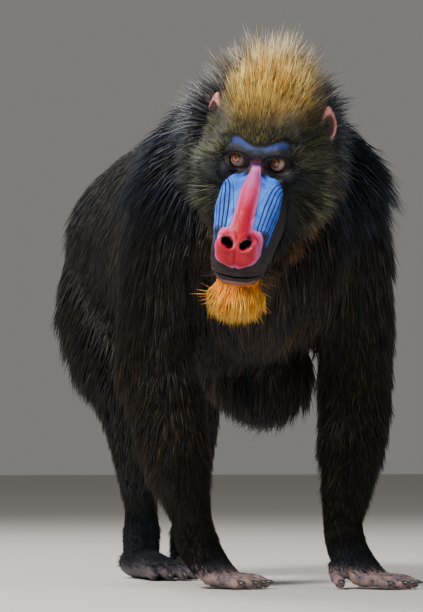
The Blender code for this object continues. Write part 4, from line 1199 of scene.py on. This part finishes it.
areas = np.linalg.norm(cross, axis=1) / 2.0
middles = (a + b + c) / 3.0
hairy = 1.0 - between(0.15, 0.85, skin_colours(middles)[1])
on_hand = middles[:, 1] < HINDQUARTERS
height = middles[:, 2]
hairy *= np.where(on_hand, between(*HAND_HAIR, height), between(*FOOT_HAIR, height))
hairy *= 1.0 - blob(middles, *RUMP_BARE)
wanted = groomed(middles)[0][:, 6] * hairy * areas
count = rng.poisson(wanted)
faces_of = np.repeat(np.arange(triangle_count), count)
first, second = rng.random(len(faces_of)), rng.random(len(faces_of))
outside = first + second > 1.0
first[outside], second[outside] = 1.0 - first[outside], 1.0 - second[outside]
weights = np.stack([1.0 - first - second, first, second], axis=1)
roots = np.einsum("nk,nkd->nd", weights, skin_points[corners[faces_of]])
root_normals = np.einsum("nk,nkd->nd", weights, skin_normals[corners[faces_of]])
root_normals /= np.linalg.norm(root_normals, axis=1, keepdims=True)
root_uv = np.einsum("nk,nkd->nd", weights, unwrap[faces_of])
guides, piece_of = groomed(roots)
surface = BVHTree.FromPolygons([Vector(p) for p in skin_points], corners.tolist())


def unit(vectors):
    """Vectors of length 1 with the same headings."""
    return vectors / np.maximum(np.linalg.norm(vectors, axis=1, keepdims=True), 1e-9)


def along_skin(vectors, normals):
    """The part of each vector that lies along the skin."""
    return unit(vectors - normals * (vectors * normals).sum(1, keepdims=True))


def grown(roots, normals, guides, steps):
    """The points of each tuft's spine, and the skin's normal at each."""
    number = len(roots)
    heading = guides[:, :3] + rng.normal(0.0, HEADING_SPREAD, (number, 3))
    heading = along_skin(heading, normals)
    length = guides[:, 3] * rng.uniform(0.72, 1.22, number)
    stand = guides[:, 5] * rng.uniform(0.5, 1.5, number)
    point = roots - normals * ROOT_SINK
    spine, lies = [point], [normals]
    for step in range(steps):
        flow = along_skin(heading, normals)
        ahead = flow * np.cos(stand)[:, None] + normals * np.sin(stand)[:, None]
        ahead[:, 2] -= DROOP * (step + 1) / steps * np.minimum(length / DROOP_LENGTH, 1.0)
        point = point + unit(ahead) * (length / steps)[:, None]
        near = [surface.find_nearest(p) for p in point]
        foot = np.array([n[0] for n in near])
        under = np.array([n[1] for n in near])
        height = ((point - foot) * under).sum(1)
        least = LEAST_HEIGHT + LEAST_RISE * length * (step + 1) / steps
        short = np.maximum(least - height, 0.0)
        point = point + under * short[:, None]
        point[:, 2] = np.maximum(point[:, 2], OVER_FLOOR)
        normals = unit(normals + under)
        spine.append(point)
        lies.append(normals)
    return np.array(spine), np.array(lies)


def gathered(spine, strength):
    """Draws the spines of neighbours together towards their tips."""
    steps = len(spine) - 1
    leaders = rng.random(spine.shape[1]) < LOCK_SHARE
    leader_index = np.flatnonzero(leaders)
    tree = KDTree(len(leader_index))
    for k, index in enumerate(leader_index):
        tree.insert(spine[0, index], k)
    tree.balance()
    follow = leader_index[[tree.find(p)[1] for p in spine[0]]]
    for step in range(1, steps + 1):
        pull = strength * (step / steps) ** 1.3
        spine[step] += (spine[step, follow] - spine[step]) * pull
    return spine


def tufts(name, roots, normals, uv, guides, steps):
    """A mesh of tufts with their colours and bake patches."""
    number = len(roots)
    spine, lies = grown(roots, normals, guides, steps)
    long_share = np.clip(guides[:, 3].mean() / LOCK_LENGTH, 0.2, 1.0)
    spine = gathered(spine, LOCK_PULL * long_share)
    width = guides[:, 4] * rng.uniform(0.75, 1.25, number)
    profile = {1: (1.0,), 2: (0.85, 1.0)}[steps]
    points = np.empty((number, 3 * steps + 1, 3))
    patch = np.empty((number, 3 * steps + 1, 2))
    hues = np.empty((number, 3 * steps + 1, 3))
    root_tone, tip_tone, band_tone = guides[:, 7:10], guides[:, 10:13], guides[:, 13:16]
    banded = (rng.random(number) < guides[:, 16])[:, None]
    bright = np.exp(rng.normal(0.0, BRIGHT_SPREAD, number))[:, None]
    outer = np.where(banded, band_tone, tip_tone) * bright
    for step in range(steps):
        ahead = unit(spine[step + 1] - spine[max(step - 1, 0)])
        side = unit(np.cross(ahead, lies[step]))
        rise = np.cross(side, ahead)
        half = side * (width * profile[step] / 2)[:, None]
        ridge = rise * (width * profile[step] * TUFT_THICKNESS)[:, None]
        along = step / steps
        tone = root_tone * (1 - along) + outer * along if step else root_tone
        for k, offset in enumerate((half, ridge, -half)):
            points[:, 3 * step + k] = spine[step] + offset
            patch[:, 3 * step + k] = uv + np.array([(k - 1) * PATCH / 2, (along - 0.5) * PATCH])
            hues[:, 3 * step + k] = tone
    points[:, -1] = spine[-1]
    patch[:, -1] = uv + np.array([0.0, PATCH / 2])
    hues[:, -1] = outer
    side_quads = []
    for step in range(steps - 1):
        for k in range(3):
            n = (k + 1) % 3
            side_quads.append((3 * step + k, 3 * step + 3 + k, 3 * step + 3 + n, 3 * step + n))
    last = 3 * (steps - 1)
    ends = [(last + k, 3 * steps, last + (k + 1) % 3) for k in range(3)] + [(0, 1, 2)]
    starts = (np.arange(number) * (3 * steps + 1))[:, None, None]
    quads = (np.array(side_quads, int).reshape(1, -1, 4) + starts).reshape(-1, 4)
    triangles = (np.array(ends)[None] + starts).reshape(-1, 3)
    mesh = bpy.data.meshes.new(name)
    mesh.vertices.add(number * (3 * steps + 1))
    mesh.vertices.foreach_set("co", points.ravel())
    loops = np.concatenate([quads.ravel(), triangles.ravel()])
    mesh.loops.add(len(loops))
    mesh.loops.foreach_set("vertex_index", loops.astype(np.int32))
    mesh.polygons.add(len(quads) + len(triangles))
    begin = np.concatenate([np.arange(len(quads)) * 4, len(quads) * 4 + np.arange(len(triangles)) * 3])
    mesh.polygons.foreach_set("loop_start", begin.astype(np.int32))
    mesh.update(calc_edges=True)
    mesh.validate()
    bake_map = mesh.uv_layers.new(name="OFBake")
    bake_map.data.foreach_set("uv", patch.reshape(-1, 2)[loops].astype(np.float32).ravel())
    piece = bpy.data.objects.new(name, mesh)
    bpy.context.scene.collection.objects.link(piece)
    add_colours(piece, "tint", hues.reshape(-1, 3))
    mesh.shade_smooth()
    return piece


coat_material, tree, shader = material_with(
    "hair", 0.56, Specular_IOR_Level=0.2, Sheen_Weight=0.05, Sheen_Roughness=0.4
)
shader.inputs["Sheen Tint"].default_value = (0.75, 0.85, 1.0, 1.0)
uneven = noise(tree, 55.0, 4.0, (-1100, -100))
streaks = remapped(tree, uneven, (0.3, 0.7), (0.62, 1.35), (-900, -100))
shade = node(tree, "ShaderNodeVectorMath", (-600, 150), operation="SCALE")
tree.links.new(reads(tree, "tint", (-900, 200), "Color"), shade.inputs[0])
tree.links.new(streaks, shade.inputs["Scale"])
tree.links.new(shade.outputs["Vector"], shader.inputs["Base Color"])

grows = np.array(guide_pieces)[piece_of]
on_left = np.where(
    np.isin(grows, HEAD_PIECES), in_head(roots)[:, 0] >= 0.0, roots[:, 0] >= BODY_MIDDLE
)
for name in sorted(set(guide_pieces)):
    for side_name, on_side in (("left", on_left), ("right", ~on_left)):
        here = np.flatnonzero((grows == name) & on_side)
        if not len(here):
            continue
        steps = 2 if guides[here, 3].mean() > LONG_HAIR else 1
        limit = PIECE_LIMIT // (6 * steps - 2)
        for part, some in enumerate(np.array_split(here, -(-len(here) // limit))):
            piece = tufts(
                "coat_" + name + "_" + side_name + ("" if part == 0 else "_" + str(part + 1)),
                roots[some], root_normals[some], root_uv[some], guides[some], steps,
            )
            piece.data.materials.append(coat_material)
            placed(piece, "coat")

placed(
    skin, "coat", "torso", "neck", "head", "upper_arm_left", "upper_arm_right", "forearm_left",
    "forearm_right", "hand_left", "hand_right", "thigh_left", "thigh_right", "shank_left",
    "shank_right", "foot_left", "foot_right", "tail",
)

# The setting: a plain pale floor and a soft studio light, with a large lamp high at the camera's
# left, a weak one at its right and a third behind that edges the crest.
FLOOR_SIZE = 40.0
bpy.ops.object.select_all(action="DESELECT")
bpy.ops.mesh.primitive_plane_add(size=FLOOR_SIZE, location=(0, 0, 0))
floor = bpy.context.object
floor.name = "floor"
floor_material, tree, shader = material_with("pale_floor", 0.75)
shader.inputs["Base Color"].default_value = (0.55, 0.53, 0.5, 1.0)
floor.data.materials.append(floor_material)


def lamp(name, place, target, size, power, colour):
    """A soft square lamp that faces a point."""
    bpy.ops.object.select_all(action="DESELECT")
    turn = (Vector(target) - Vector(place)).to_track_quat("-Z", "Y").to_euler()
    bpy.ops.object.light_add(type="AREA", location=place, rotation=turn)
    light = bpy.context.object
    light.name = name
    light.data.size = size
    light.data.energy = power
    light.data.color = colour


lamp("key", (-2.8, -1.8, 3.2), (0, 0, 0.5), 1.1, 310.0, (1.0, 0.97, 0.93))
lamp("fill", (2.6, -3.2, 1.4), (0, 0, 0.45), 2.0, 40.0, (0.9, 0.95, 1.0))
lamp("edge", (-0.3, 2.8, 3.2), (0, 0, 0.6), 1.2, 125.0, (1.0, 0.97, 0.92))
world = bpy.data.worlds.new("studio")
world.use_nodes = True
world.node_tree.nodes["Background"].inputs["Color"].default_value = (0.62, 0.6, 0.57, 1.0)
world.node_tree.nodes["Background"].inputs["Strength"].default_value = 0.34
bpy.context.scene.world = world
